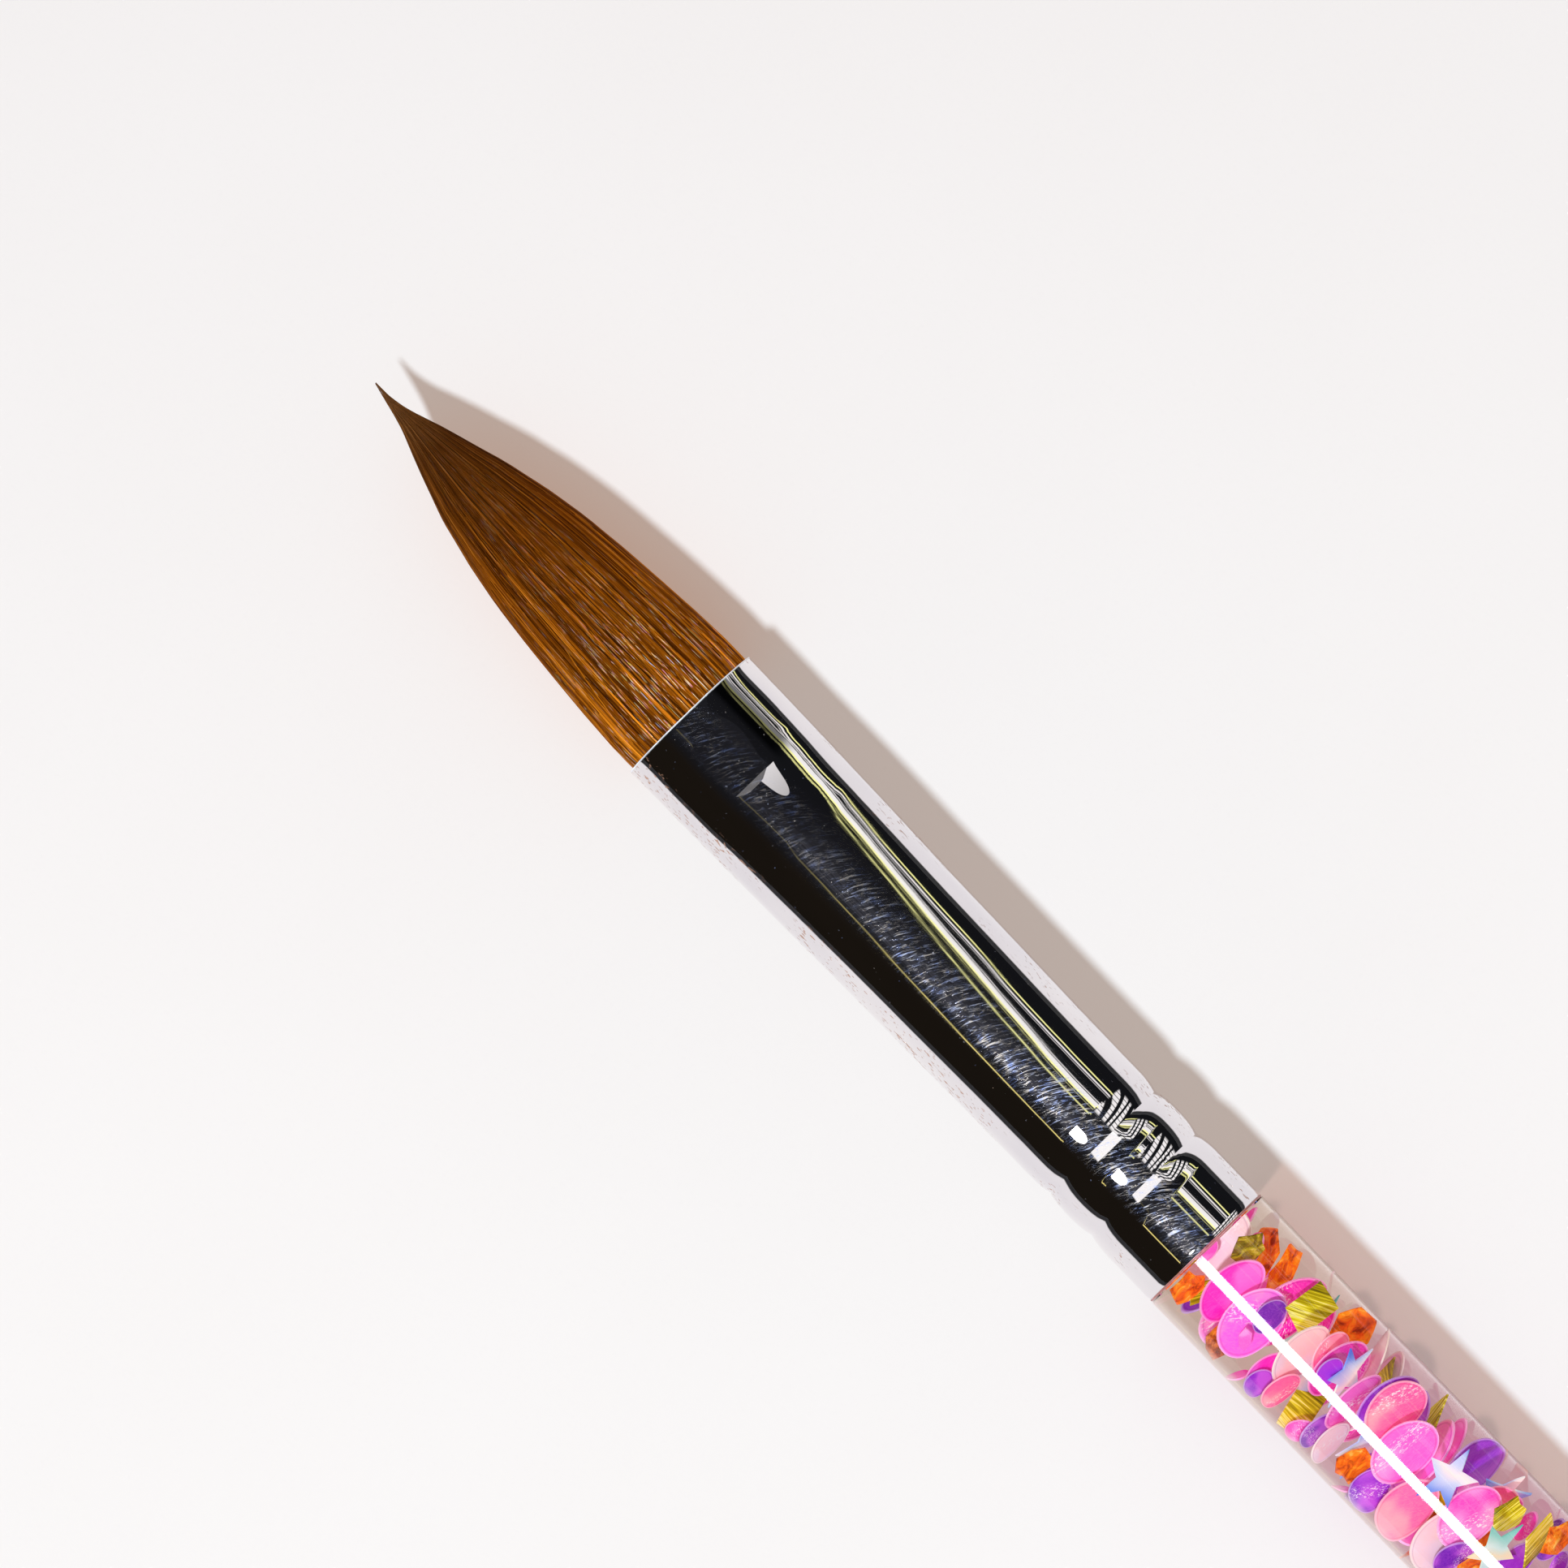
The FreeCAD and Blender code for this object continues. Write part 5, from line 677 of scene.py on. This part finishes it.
def hair_attributes(o):
    me = o.data
    co = np.empty(len(me.vertices) * 3, np.float32)
    me.vertices.foreach_get("co", co)
    co = co.reshape(-1, 3)
    ang = np.arctan2(co[:, 2], co[:, 1])
    along = np.clip((MOUTH - co[:, 0]) / (24 * MM), 0, 1)
    for nm, v in (("along", along), ("rnd", 0.5 + 0.3 * np.sin(ang * 40)), ("side", np.abs(co[:, 1]) / (4.1 * MM))):
        a = me.attributes.new(nm, "FLOAT", "POINT")
        a.data.foreach_set("value", v.astype(np.float32))


for nm in ("hair_root", "hair_base", "hair_belly", "hair_tip"):
    hair_attributes(nodes[nm])
    set_mat(nodes[nm], core_mat)

# ---------------------------------------------------------------- hair
# distance from the mouth, half width, sideways set of the centre line (mm)
PROFILE = np.array([(-6.0, 3.6, 0.0), (-3.0, 3.80, 0.0), (-1.0, 3.98, 0.0), (0.0, 4.06, 0.0), (1.6, 4.05, 0.0), (3.56, 3.95, 0.0), (6.11, 3.76, 0.0), (8.65, 3.55, 0.0),
                    (11.2, 3.27, 0.0), (12.47, 3.05, 0.0), (13.74, 2.82, 0.0), (15.01, 2.52, 0.0), (16.28, 2.24, 0.0), (17.56, 1.82, 0.02), (18.83, 1.42, 0.05),
                    (20.1, 1.00, 0.09), (20.95, 0.67, 0.11), (21.8, 0.40, 0.10), (22.6, 0.22, 0.09), (23.4, 0.10, 0.16), (24.0, 0.035, 0.24)])


def prof(s):
    s = np.asarray(s, float)
    w = np.interp(s, PROFILE[:, 0], PROFILE[:, 1])
    y0 = np.interp(s, PROFILE[:, 0], PROFILE[:, 2])
    flat = 0.95 - 0.215 * (24.0 - np.clip(s, 0, 24)) / 24.0
    b = w * flat
    b = np.minimum(b, np.where(s < 0.6, 2.93, 9.0))
    return w, b, y0


CUTS = [(-1.8, 6.1), (6.1, 11.7), (11.7, 24.0)]
PARTS = [("base", "handle", "tuft_base", -39.6, -44.8), ("belly", "tuft_base", "tuft_belly", -45.0, -50.3), ("tip", "tuft_belly", "tuft_tip", -50.6, -56.4)]


def new_mesh(name, v, f, mat, attrs, smooth_faces=True):
    me = bpy.data.meshes.new(name)
    me.from_pydata((v * MM).tolist(), [], f)
    if smooth_faces:
        me.polygons.foreach_set("use_smooth", [True] * len(me.polygons))
    for nm, a in attrs.items():
        at = me.attributes.new(nm, "FLOAT", "POINT")
        at.data.foreach_set("value", np.asarray(a, np.float32))
    me.materials.append(mat)
    o = bpy.data.objects.new(name, me)
    scene.collection.objects.link(o)
    me.update()
    return o


def outline(s, th, q, wob=0.0):
    w, b, y0 = prof(s)
    x = MOUTH / MM - s
    y = y0 + q * w * np.cos(th) + wob
    z = q * b * np.sin(th)
    return np.stack(np.broadcast_arrays(x, y, z), -1)


def core_piece(k):
    """The mass of hair under the loose top layer, painted dark as shade, one length of it."""
    label, a, b, xs, xe = PARTS[k]
    s0, s1 = CUTS[k]
    if k == 2:
        s1 = 23.2
    over = 0.0
    ss = np.linspace(s0, s1, 15 if k < 2 else 24)
    nth = 160
    th = np.linspace(0, 2 * np.pi, nth, endpoint=False)
    V, al, rn, sd = [], [], [], []
    for s in ss:
        groove = 0.006 * np.sin(th * 23 + 1.3) + 0.005 * np.sin(th * 41 + 0.4)
        q = 0.962 + groove * np.clip(s / 6, 0, 1)
        V.append(outline(s, th, q))
        al.append(np.full(nth, max(0.0, s / 24)))
        rn.append(0.5 + 0.35 * np.sin(th * 57) * np.cos(th * 13))
        sd.append(np.abs(np.cos(th)))
    V = np.concatenate(V)
    F = []
    for i in range(len(ss) - 1):
        for j in range(nth):
            a0, b0 = i * nth + j, i * nth + (j + 1) % nth
            F.append((a0, a0 + nth, b0 + nth, b0))
    # the end faces have corners of their own, so that the shading runs on smoothly to the next length
    al, rn, sd = np.concatenate(al), np.concatenate(rn), np.concatenate(sd)
    n0 = len(V)
    V = np.concatenate([V, V[:nth], V[-nth:]])
    al, rn, sd = (np.concatenate([q, q[:nth], q[-nth:]]) for q in (al, rn, sd))
    F.append(tuple(range(n0, n0 + nth)))
    F.append(tuple(range(n0 + 2 * nth - 1, n0 + nth - 1, -1)))
    return new_mesh("hair_mass_" + label, V, F, core_mat, {"along": al, "rnd": rn, "side": sd})


rng = np.random.default_rng(41)
NS = 3000
theta = np.sort(rng.uniform(0, 2 * np.pi, NS))
layer = rng.choice([0.998, 0.988, 0.978, 0.968], NS, p=[0.36, 0.28, 0.2, 0.16])
qq = layer + rng.normal(0, 0.0025, NS)
rad = rng.uniform(0.026, 0.042, NS)
# neighbouring hairs share much of their tone, so that fine lines of painted light and shade show
tufts = rng.uniform(0, 1, 250)
rnd = 0.74 * tufts[(theta / (2 * np.pi) * 250).astype(int) % 250] + 0.26 * rng.uniform(0, 1, NS)
rnd = np.argsort(np.argsort(rnd)) / NS
s_end = np.where(rng.uniform(size=NS) < 0.45, rng.uniform(21.5, 24.0, NS), rng.uniform(14.5, 22.5, NS))
# hairs gather into locks towards the tip, which leaves darker grooves between them
nl = 64
lock = np.sort(rng.uniform(0, 2 * np.pi, nl))
near = lock[np.argmin(np.abs((theta[:, None] - lock[None, :] + np.pi) % (2 * np.pi) - np.pi), axis=1)]
pull = ((near - theta + np.pi) % (2 * np.pi) - np.pi)
wave_a = rng.normal(0, 0.018, NS)
wave_p = rng.uniform(0, 2 * np.pi, NS)
wave_f = rng.uniform(0.10, 0.32, NS)
# a few hairs lie slantwise over the others near the mouth
slant = np.where(rng.uniform(size=NS) < 0.05, rng.normal(0, 0.16, NS), 0.0)
qq = np.where(slant != 0, 1.003, qq)


def strand_path(i, s):
    t = np.clip(s / 24.0, 0, 1)
    th = theta[i] + pull[i] * 0.42 * t ** 1.3
    env = np.clip((s - 0.3) / 3.0, 0, 1)
    th = th + env * wave_a[i] * 0.5 * np.sin(wave_f[i] * s * 2 + wave_p[i]) + slant[i] * np.clip(s / 9.0, 0, 1) * np.clip(1.6 - s / 12.0, 0, 1)
    q = qq[i] - 0.010 * t * (np.abs(pull[i]) > 0.05) + env * 0.004 * np.sin(wave_f[i] * s * 3 + wave_p[i] * 1.7)
    # a hair that ends early lies back into the bundle
    q = q * (1 - 0.02 * np.clip((s - (s_end[i] - 1.2)) / 1.2, 0, 1))
    return outline(s, th, np.minimum(q, 1.006)), th


def strands(k, idx, name):
    s0, s1 = CUTS[k]
    steps = (8, 7, 13)[k]
    V, F, al, rn, sd = [], [], [], [], []
    base = 0
    for i in idx:
        e = min(s1, s_end[i])
        if e <= s0 + 0.3:
            continue
        ends = e < s1 - 1e-6 or k == 2
        s = np.linspace(s0, e, steps)
        P, th = strand_path(i, s)
        T = np.gradient(P, axis=0)
        T /= np.linalg.norm(T, axis=1)[:, None]
        out = np.stack([np.zeros_like(s), np.cos(th), np.sin(th)], -1)
        out -= (out * T).sum(1)[:, None] * T
        out /= np.linalg.norm(out, axis=1)[:, None]
        sdv = np.cross(T, out)
        tt = np.clip(s / s_end[i], 0, 1)
        w, _, _ = prof(s)
        r = rad[i] * (1 - 0.72 * tt ** 2.2) * np.clip(w / 1.6, 0.30, 1.0)
        for a in (0.5 * np.pi, 0.5 * np.pi + 2 * np.pi / 3, 0.5 * np.pi + 4 * np.pi / 3):
            V.append(P + (r * math.sin(a))[:, None] * out + (r * math.cos(a))[:, None] * sdv)
        m = len(s)
        for c in range(3):
            d = (c + 1) % 3
            for j in range(m - 1):
                F.append((base + c * m + j, base + c * m + j + 1, base + d * m + j + 1, base + d * m + j))
        if k == 0:
            F.append((base, base + m, base + 2 * m))
        if ends:
            F.append((base + m - 1, base + 3 * m - 1, base + 2 * m - 1))
        al += [np.clip(s / 24, 0, 1)] * 3
        rn += [np.full(m, rnd[i])] * 3
        sd += [np.abs(np.cos(th))] * 3
        base += 3 * m
    return new_mesh(name, np.concatenate(V), F, hair_mat, {"along": np.concatenate(al), "rnd": np.concatenate(rn), "side": np.concatenate(sd)})


for k, (label, a, b, xs, xe) in enumerate(PARTS):
    c = core_piece(k)
    st = strands(k, range(NS), "hair_strands_" + label)
    for o in (c, st):
        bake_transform(o)
    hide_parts("hair_" + label)

# ---------------------------------------------------------------- floor, light, camera
t = Tree("floor_paper")
co = t.coord()
nz = t.noise(co, 30.0, 3.0, 0.6)
fine = t.noise(co, 900.0, 2.0, 0.6)
sx = t.xyz(co)
col = t.mix((t.range((nz, 0), 0.3, 0.7), 0), (0.772, 0.752, 0.752, 1), (0.782, 0.764, 0.766, 1))
# the light falls off slowly away from the lamp
away = t.math("ADD", t.math("MULTIPLY", (sx, 0), -0.718), t.math("MULTIPLY", (sx, 1), 0.696))
col = t.mix(1.0, col, t.ramp(t.range(away, -0.045, 0.075), [(0.0, (1.0, 1.0, 1.0)), (0.45, (0.975, 0.972, 0.972)), (1.0, (0.915, 0.905, 0.905))]), "MULTIPLY")
# painted reflection: away from the brush the floor is painted near black for glossy rays, so polished things mirror a
# dark room beyond the sheet
far = t.range(t.math("ABSOLUTE", (sx, 1)), 0.036, 0.050, 0.0, 1.0, True)
lpn = t.nt.nodes.new("ShaderNodeLightPath")
dark = t.math("MULTIPLY", far, (lpn, 3))
col = t.mix((dark, 0), col, (0.02, 0.02, 0.022, 1))
p = t.n("BsdfPrincipled", None, Base_Color=col, Roughness=0.75, Normal=t.bump((fine, 0), 0.04, 0.00005))
t.set(p, "Specular IOR Level", 0.1)
# seen through the tube, the floor carries the light the tube gathers: sand-coloured by the
# ferrule, mauve further back, with fine lengthwise lines
lines = t.noise(t.mapping(co, (18, 1500, 1500)), 1.0, 2.0, 0.55)
zone = t.ramp(t.range((sx, 0), 0.002, 0.020), [(0.0, (0.62, 0.47, 0.37)), (0.30, (0.64, 0.44, 0.37)), (0.42, (0.60, 0.36, 0.37)), (1.0, (0.56, 0.31, 0.36))])
zone = t.mix(1.0, (zone, 0), (t.ramp((lines, 0), [(0.30, (0.86, 0.86, 0.86)), (0.55, (1, 1, 1)), (0.72, (1.12, 1.12, 1.12))]), 0), "MULTIPLY")
glowing = t.n("Emission", None, Color=zone, Strength=1.0)
mx = t.nt.nodes.new("ShaderNodeMixShader")
inside = t.math("MULTIPLY", t.math("GREATER_THAN", lpn.outputs["Transmission Depth"], 0.5), t.math("LESS_THAN", lpn.outputs["Diffuse Depth"], 0.5))
t.set(mx, "i0", t.math("MULTIPLY", t.math("MAXIMUM", (lpn, 6), inside), 0.80))
t.set(mx, "i1", p)
t.set(mx, "i2", glowing)
p = mx
floor_mat = t.surface(p)
me = bpy.data.meshes.new("floor")
R = 3.0
me.from_pydata([(-R, -R, FLOOR_Z), (R, -R, FLOOR_Z), (R, R, FLOOR_Z), (-R, R, FLOOR_Z)], [], [(0, 1, 2, 3)])
me.materials.append(floor_mat)
floor = bpy.data.objects.new("floor", me)
scene.collection.objects.link(floor)

# surroundings: soft even light on matt surfaces; polished ones see a dark room with a lamp and a slatted window
world = bpy.data.worlds.new("studio")
scene.world = world
world.use_nodes = True
world.cycles.sampling_method = "NONE"       # matt and polished surfaces are each given their own sky below
w = Tree.__new__(Tree)
w.nt = world.node_tree
w.nt.nodes.clear()
out = w.nt.nodes.new("ShaderNodeOutputWorld")
lp = w.nt.nodes.new("ShaderNodeLightPath")
dirn = w.xyz((w.nt.nodes.new("ShaderNodeTexCoord"), 0))
elev = w.math("ARCTAN2", (dirn, 1), (dirn, 2))          # 0 overhead, + towards +Y
deg = w.math("MULTIPLY", elev, 180 / math.pi)


def band(centre, half, soft):
    d = w.math("ABSOLUTE", w.math("SUBTRACT", deg, centre))
    return w.range(d, half, half + soft, 1.0, 0.0, True)


def line_at(centre, half, soft):
    """A band whose centre is itself a curve."""
    d = w.math("ABSOLUTE", w.math("SUBTRACT", deg2, centre))
    return w.range(d, half, half + soft, 1.0, 0.0, True)


dx = w.math("ADD", (dirn, 0), 0.0)
wv = w.nt.nodes.new("ShaderNodeCombineXYZ")
w.set(wv, "i0", w.math("MULTIPLY", dx, 260.0))
wob = w.noise(wv, 1.0, 2.0)
wv2 = w.nt.nodes.new("ShaderNodeCombineXYZ")
w.set(wv2, "i0", w.math("MULTIPLY", dx, 420.0))
w.set(wv2, "i1", w.math("MULTIPLY", deg, 0.22))
broken = w.noise(wv2, 1.0, 2.0)
deg2 = w.math("ADD", deg, w.math("MULTIPLY", w.math("SUBTRACT", (wob, 0), 0.5), 3.0))

# lamp: on the tail side, a long bright bar with a rounded end
u = w.math("MULTIPLY", w.math("MAXIMUM", w.math("SUBTRACT", dx, 0.07), 0.0), 1 / 0.16)
v = w.math("MULTIPLY", w.math("ADD", deg, 19.8), 1 / 8.2)
lamp = w.range(w.math("ADD", w.math("MULTIPLY", u, u), w.math("MULTIPLY", v, v)), 0.70, 1.15, 1.0, 0.0, True)
lamp = w.math("MULTIPLY", lamp, w.range(dx, -0.0006, 0.0006, 0.0, 1.0))
# window: on the hair side
pane = w.math("MULTIPLY", band(-2.0, 24.0, 3.0), w.range(dx, -0.66, -0.62, 0.0, 1.0))
pane = w.math("MULTIPLY", pane, w.range(dx, -0.298, -0.288, 1.0, 0.0))
dim = w.math("MULTIPLY", band(-22.0, 22.0, 12.0), w.range(dx, -0.70, -0.66, 1.0, 0.0))
pane = w.math("ADD", pane, w.math("MULTIPLY", dim, 0.14))
# slatted blind along the far side
dxs = w.math("ADD", dx, 0.012)        # the sheet leans by this much
broad = w.curve(dxs, [(-0.12, 64.0), (-0.056, 62.5), (-0.0472, 61.0), (-0.0426, 58.5), (-0.0365, 51.0), (-0.0274, 41.5), (-0.0213, 35.5), (-0.0167, 31.0), (-0.003, 34.5), (0.004, 35.0)])
thin = w.curve(dxs, [(-0.12, 76.0), (-0.056, 77.0), (-0.0472, 79.0), (-0.0426, 76.0), (-0.0365, 68.5), (-0.0274, 65.0), (-0.0213, 60.0), (-0.0167, 60.0), (-0.003, 60.5), (0.004, 60.0)])
low = w.curve(dxs, [(-0.12, 54.0), (-0.056, 52.0), (-0.0472, 49.0), (-0.0426, 44.0), (-0.0365, 36.0), (-0.0274, 22.0), (-0.0213, 17.0), (-0.0167, 14.0), (-0.003, 16.0), (0.004, 16.0)])
gaps = w.range((broken, 0), 0.30, 0.50, 0.15, 1.0)
white = line_at(broad, 2.6, 1.0)
white = w.math("MAXIMUM", white, w.math("MULTIPLY", line_at(w.math("ADD", broad, 5.4), 0.5, 0.6), 0.75))
white = w.math("MAXIMUM", white, w.math("MULTIPLY", line_at(w.math("ADD", thin, -3.4), 0.9, 0.8), 0.9))
white = w.math("MAXIMUM", white, w.math("MULTIPLY", w.math("MULTIPLY", line_at(w.math("ADD", thin, -7.0), 0.4, 0.5), 0.55), gaps))
yellow = w.math("MULTIPLY", line_at(w.math("ADD", broad, -4.4), 0.9, 0.7), 1.15)
yellow = w.math("MAXIMUM", yellow, w.math("MULTIPLY", line_at(w.math("ADD", thin, 2.6), 0.8, 0.7), 1.0))
yellow = w.math("MAXIMUM", yellow, w.math("MULTIPLY", w.math("MULTIPLY", line_at(low, 0.8, 0.8), 0.85), gaps))
yellow = w.math("MAXIMUM", yellow, w.math("MULTIPLY", w.math("MULTIPLY", line_at(w.math("ADD", broad, -8.5), 0.4, 0.5), 0.40), gaps))
# past its ends the blind breaks up into short cross bars
cross = w.math("PINGPONG", w.math("ADD", dx, w.math("MULTIPLY", w.math("MULTIPLY", deg, deg), 0.00003)), 0.062)
bars = w.math("MULTIPLY", w.range(cross, 0.022, 0.034, 0.0, 1.0, True), w.range(w.math("ABSOLUTE", w.math("SUBTRACT", deg, 50.0)), 24.0, 30.0, 1.0, 0.0))
bars = w.math("MULTIPLY", bars, w.range(w.math("PINGPONG", deg, 3.6), 0.5, 0.9, 0.12, 1.0))
side = w.math("ADD", w.range(dx, -0.31, -0.28, 1.0, 0.0), w.range(dx, 0.030, 0.040, 0.0, 1.0))
side = w.math("MULTIPLY", side, w.range(w.math("ABSOLUTE", dx), 0.64, 0.72, 1.0, 0.0))
inv = w.math("SUBTRACT", 1.0, side)
white = w.math("ADD", w.math("MULTIPLY", white, inv), w.math("MULTIPLY", w.math("MULTIPLY", bars, side), 1.0))
yellow = w.math("MULTIPLY", yellow, inv)
# thin warm line on the near side, stronger towards the tail
wl = w.curve(dxs, [(-0.056, -24.0), (-0.0426, -29.5), (-0.0274, -39.5), (-0.0167, -44.0), (0.004, -44.0)])
warm = w.math("MULTIPLY", line_at(wl, 0.55, 0.6), w.range(dxs, -0.046, -0.024, 0.06, 0.85))
warm = w.math("MULTIPLY", w.math("MULTIPLY", warm, inv), w.range((broken, 0), 0.30, 0.46, 0.25, 1.0))
# faint glow of the room overhead, stronger towards the tail
glow = w.curve(deg, [(-52.0, 0.0), (-36.0, 0.10), (-28.0, 0.40), (-18.0, 1.0), (-8.0, 0.75), (0.0, 0.42), (14.0, 0.20), (30.0, 0.06), (60.0, 0.0)])
glow = w.math("MULTIPLY", glow, w.range(dxs, -0.055, -0.014, 0.018, 0.066))
glow = w.math("MULTIPLY", glow, w.range((w.noise((w.nt.nodes.new("ShaderNodeTexCoord"), 0), 34.0, 2.0), 0), 0.32, 0.62, 0.55, 1.25))
sky = w.math("ADD", w.math("ADD", w.math("MULTIPLY", lamp, 27.0), w.math("MULTIPLY", pane, 1.15)), w.math("MULTIPLY", white, 1.05))
# little of it comes back out of the tube from its far wall
outer = w.math("LESS_THAN", lp.outputs["Transmission Depth"], 0.5)
sky = w.math("MULTIPLY", sky, w.math("ADD", w.math("MULTIPLY", outer, 0.95), 0.05))
near_black = w.range(deg, -46.0, -30.0, 1.0, 0.0, True)
colr = w.nt.nodes.new("ShaderNodeCombineColor")


def channel(i, base, dusk, k_white, k_yellow, k_warm, k_glow):
    v = w.math("ADD", w.math("MULTIPLY", sky, k_white), w.math("MULTIPLY", yellow, k_yellow))
    v = w.math("ADD", v, w.math("MULTIPLY", warm, k_warm))
    v = w.math("ADD", v, w.math("MULTIPLY", glow, k_glow))
    v = w.math("ADD", v, w.math("ADD", base, w.math("MULTIPLY", near_black, dusk)))
    w.set(colr, "i%d" % i, v)


channel(0, 0.0075, 0.0030, 1.0, 1.10, 1.15, 0.95)
channel(1, 0.0080, 0.0000, 0.99, 1.10, 0.98, 0.98)
channel(2, 0.0095, -0.0040, 0.96, 0.42, 0.30, 1.18)
shiny = w.nt.nodes.new("ShaderNodeBackground")
w.set(shiny, "Color", colr)
soft = w.nt.nodes.new("ShaderNodeBackground")
soft.inputs["Color"].default_value = (1.0, 0.862, 0.773, 1)
soft.inputs["Strength"].default_value = 0.689
seen = w.nt.nodes.new("ShaderNodeBackground")
seen.inputs["Color"].default_value = (0.90, 0.885, 0.88, 1)
m1 = w.nt.nodes.new("ShaderNodeMixShader")
w.set(m1, "i0", (lp, 2))
w.set(m1, "i1", shiny)
w.set(m1, "i2", soft)
m2 = w.nt.nodes.new("ShaderNodeMixShader")
w.set(m2, "i0", (lp, 0))
w.set(m2, "i1", m1)
w.set(m2, "i2", seen)
w.nt.links.new(m2.outputs[0], out.inputs[0])

# key light for the shadow
sun = bpy.data.lights.new("key", "SUN")
sun.energy = 2.52
sun.angle = math.radians(5.0)
sun.color = (0.781, 0.922, 1.0)
so = bpy.data.objects.new("key", sun)
e = math.radians(66.0)
d = Vector((-0.10, math.cos(e), -math.sin(e))).normalized()
so.rotation_mode = "QUATERNION"
so.rotation_quaternion = d.to_track_quat("-Z", "Y")
scene.collection.objects.link(so)
so.visible_glossy = False
so.visible_transmission = False

# camera: above the shoulder, turned slightly to the middle of the view
cam = bpy.data.cameras.new("cam")
cam.sensor_width = 36.0
cam.sensor_fit = "HORIZONTAL"
D = 0.657
co_ = bpy.data.objects.new("cam", cam)
scene.collection.objects.link(co_)
scene.camera = co_
AX = math.atan2(0.71837, 0.69568)           # the brush points this far below the picture's horizontal
right = Vector((math.cos(AX), math.sin(AX), 0))
up = Vector((-math.sin(AX), math.cos(AX), 0))
aim = Vector((-32.77 * MM, 1.01 * MM, 0))
eye = Vector((0.0, 0.0, D))
fwd = (aim - eye).normalized()
zc = -fwd
xc = (right - right.dot(zc) * zc).normalized()
yc = zc.cross(xc)
m = Matrix(((xc.x, yc.x, zc.x, eye.x), (xc.y, yc.y, zc.y, eye.y), (xc.z, yc.z, zc.z, eye.z), (0, 0, 0, 1)))
co_.matrix_world = m
cam.lens = 36.0 * (aim - eye).length / (81.93 * MM)
cam.clip_start, cam.clip_end = 0.01, 10.0

scene.view_settings.view_transform = "Standard"
scene.view_settings.look = "None"
scene.view_settings.exposure = 0.0
scene.cycles.max_bounces = 24
scene.cycles.transmission_bounces = 16
scene.cycles.transparent_max_bounces = 24
scene.cycles.caustics_reflective = False
scene.cycles.caustics_refractive = False
scene.cycles.sample_clamp_indirect = 6.0
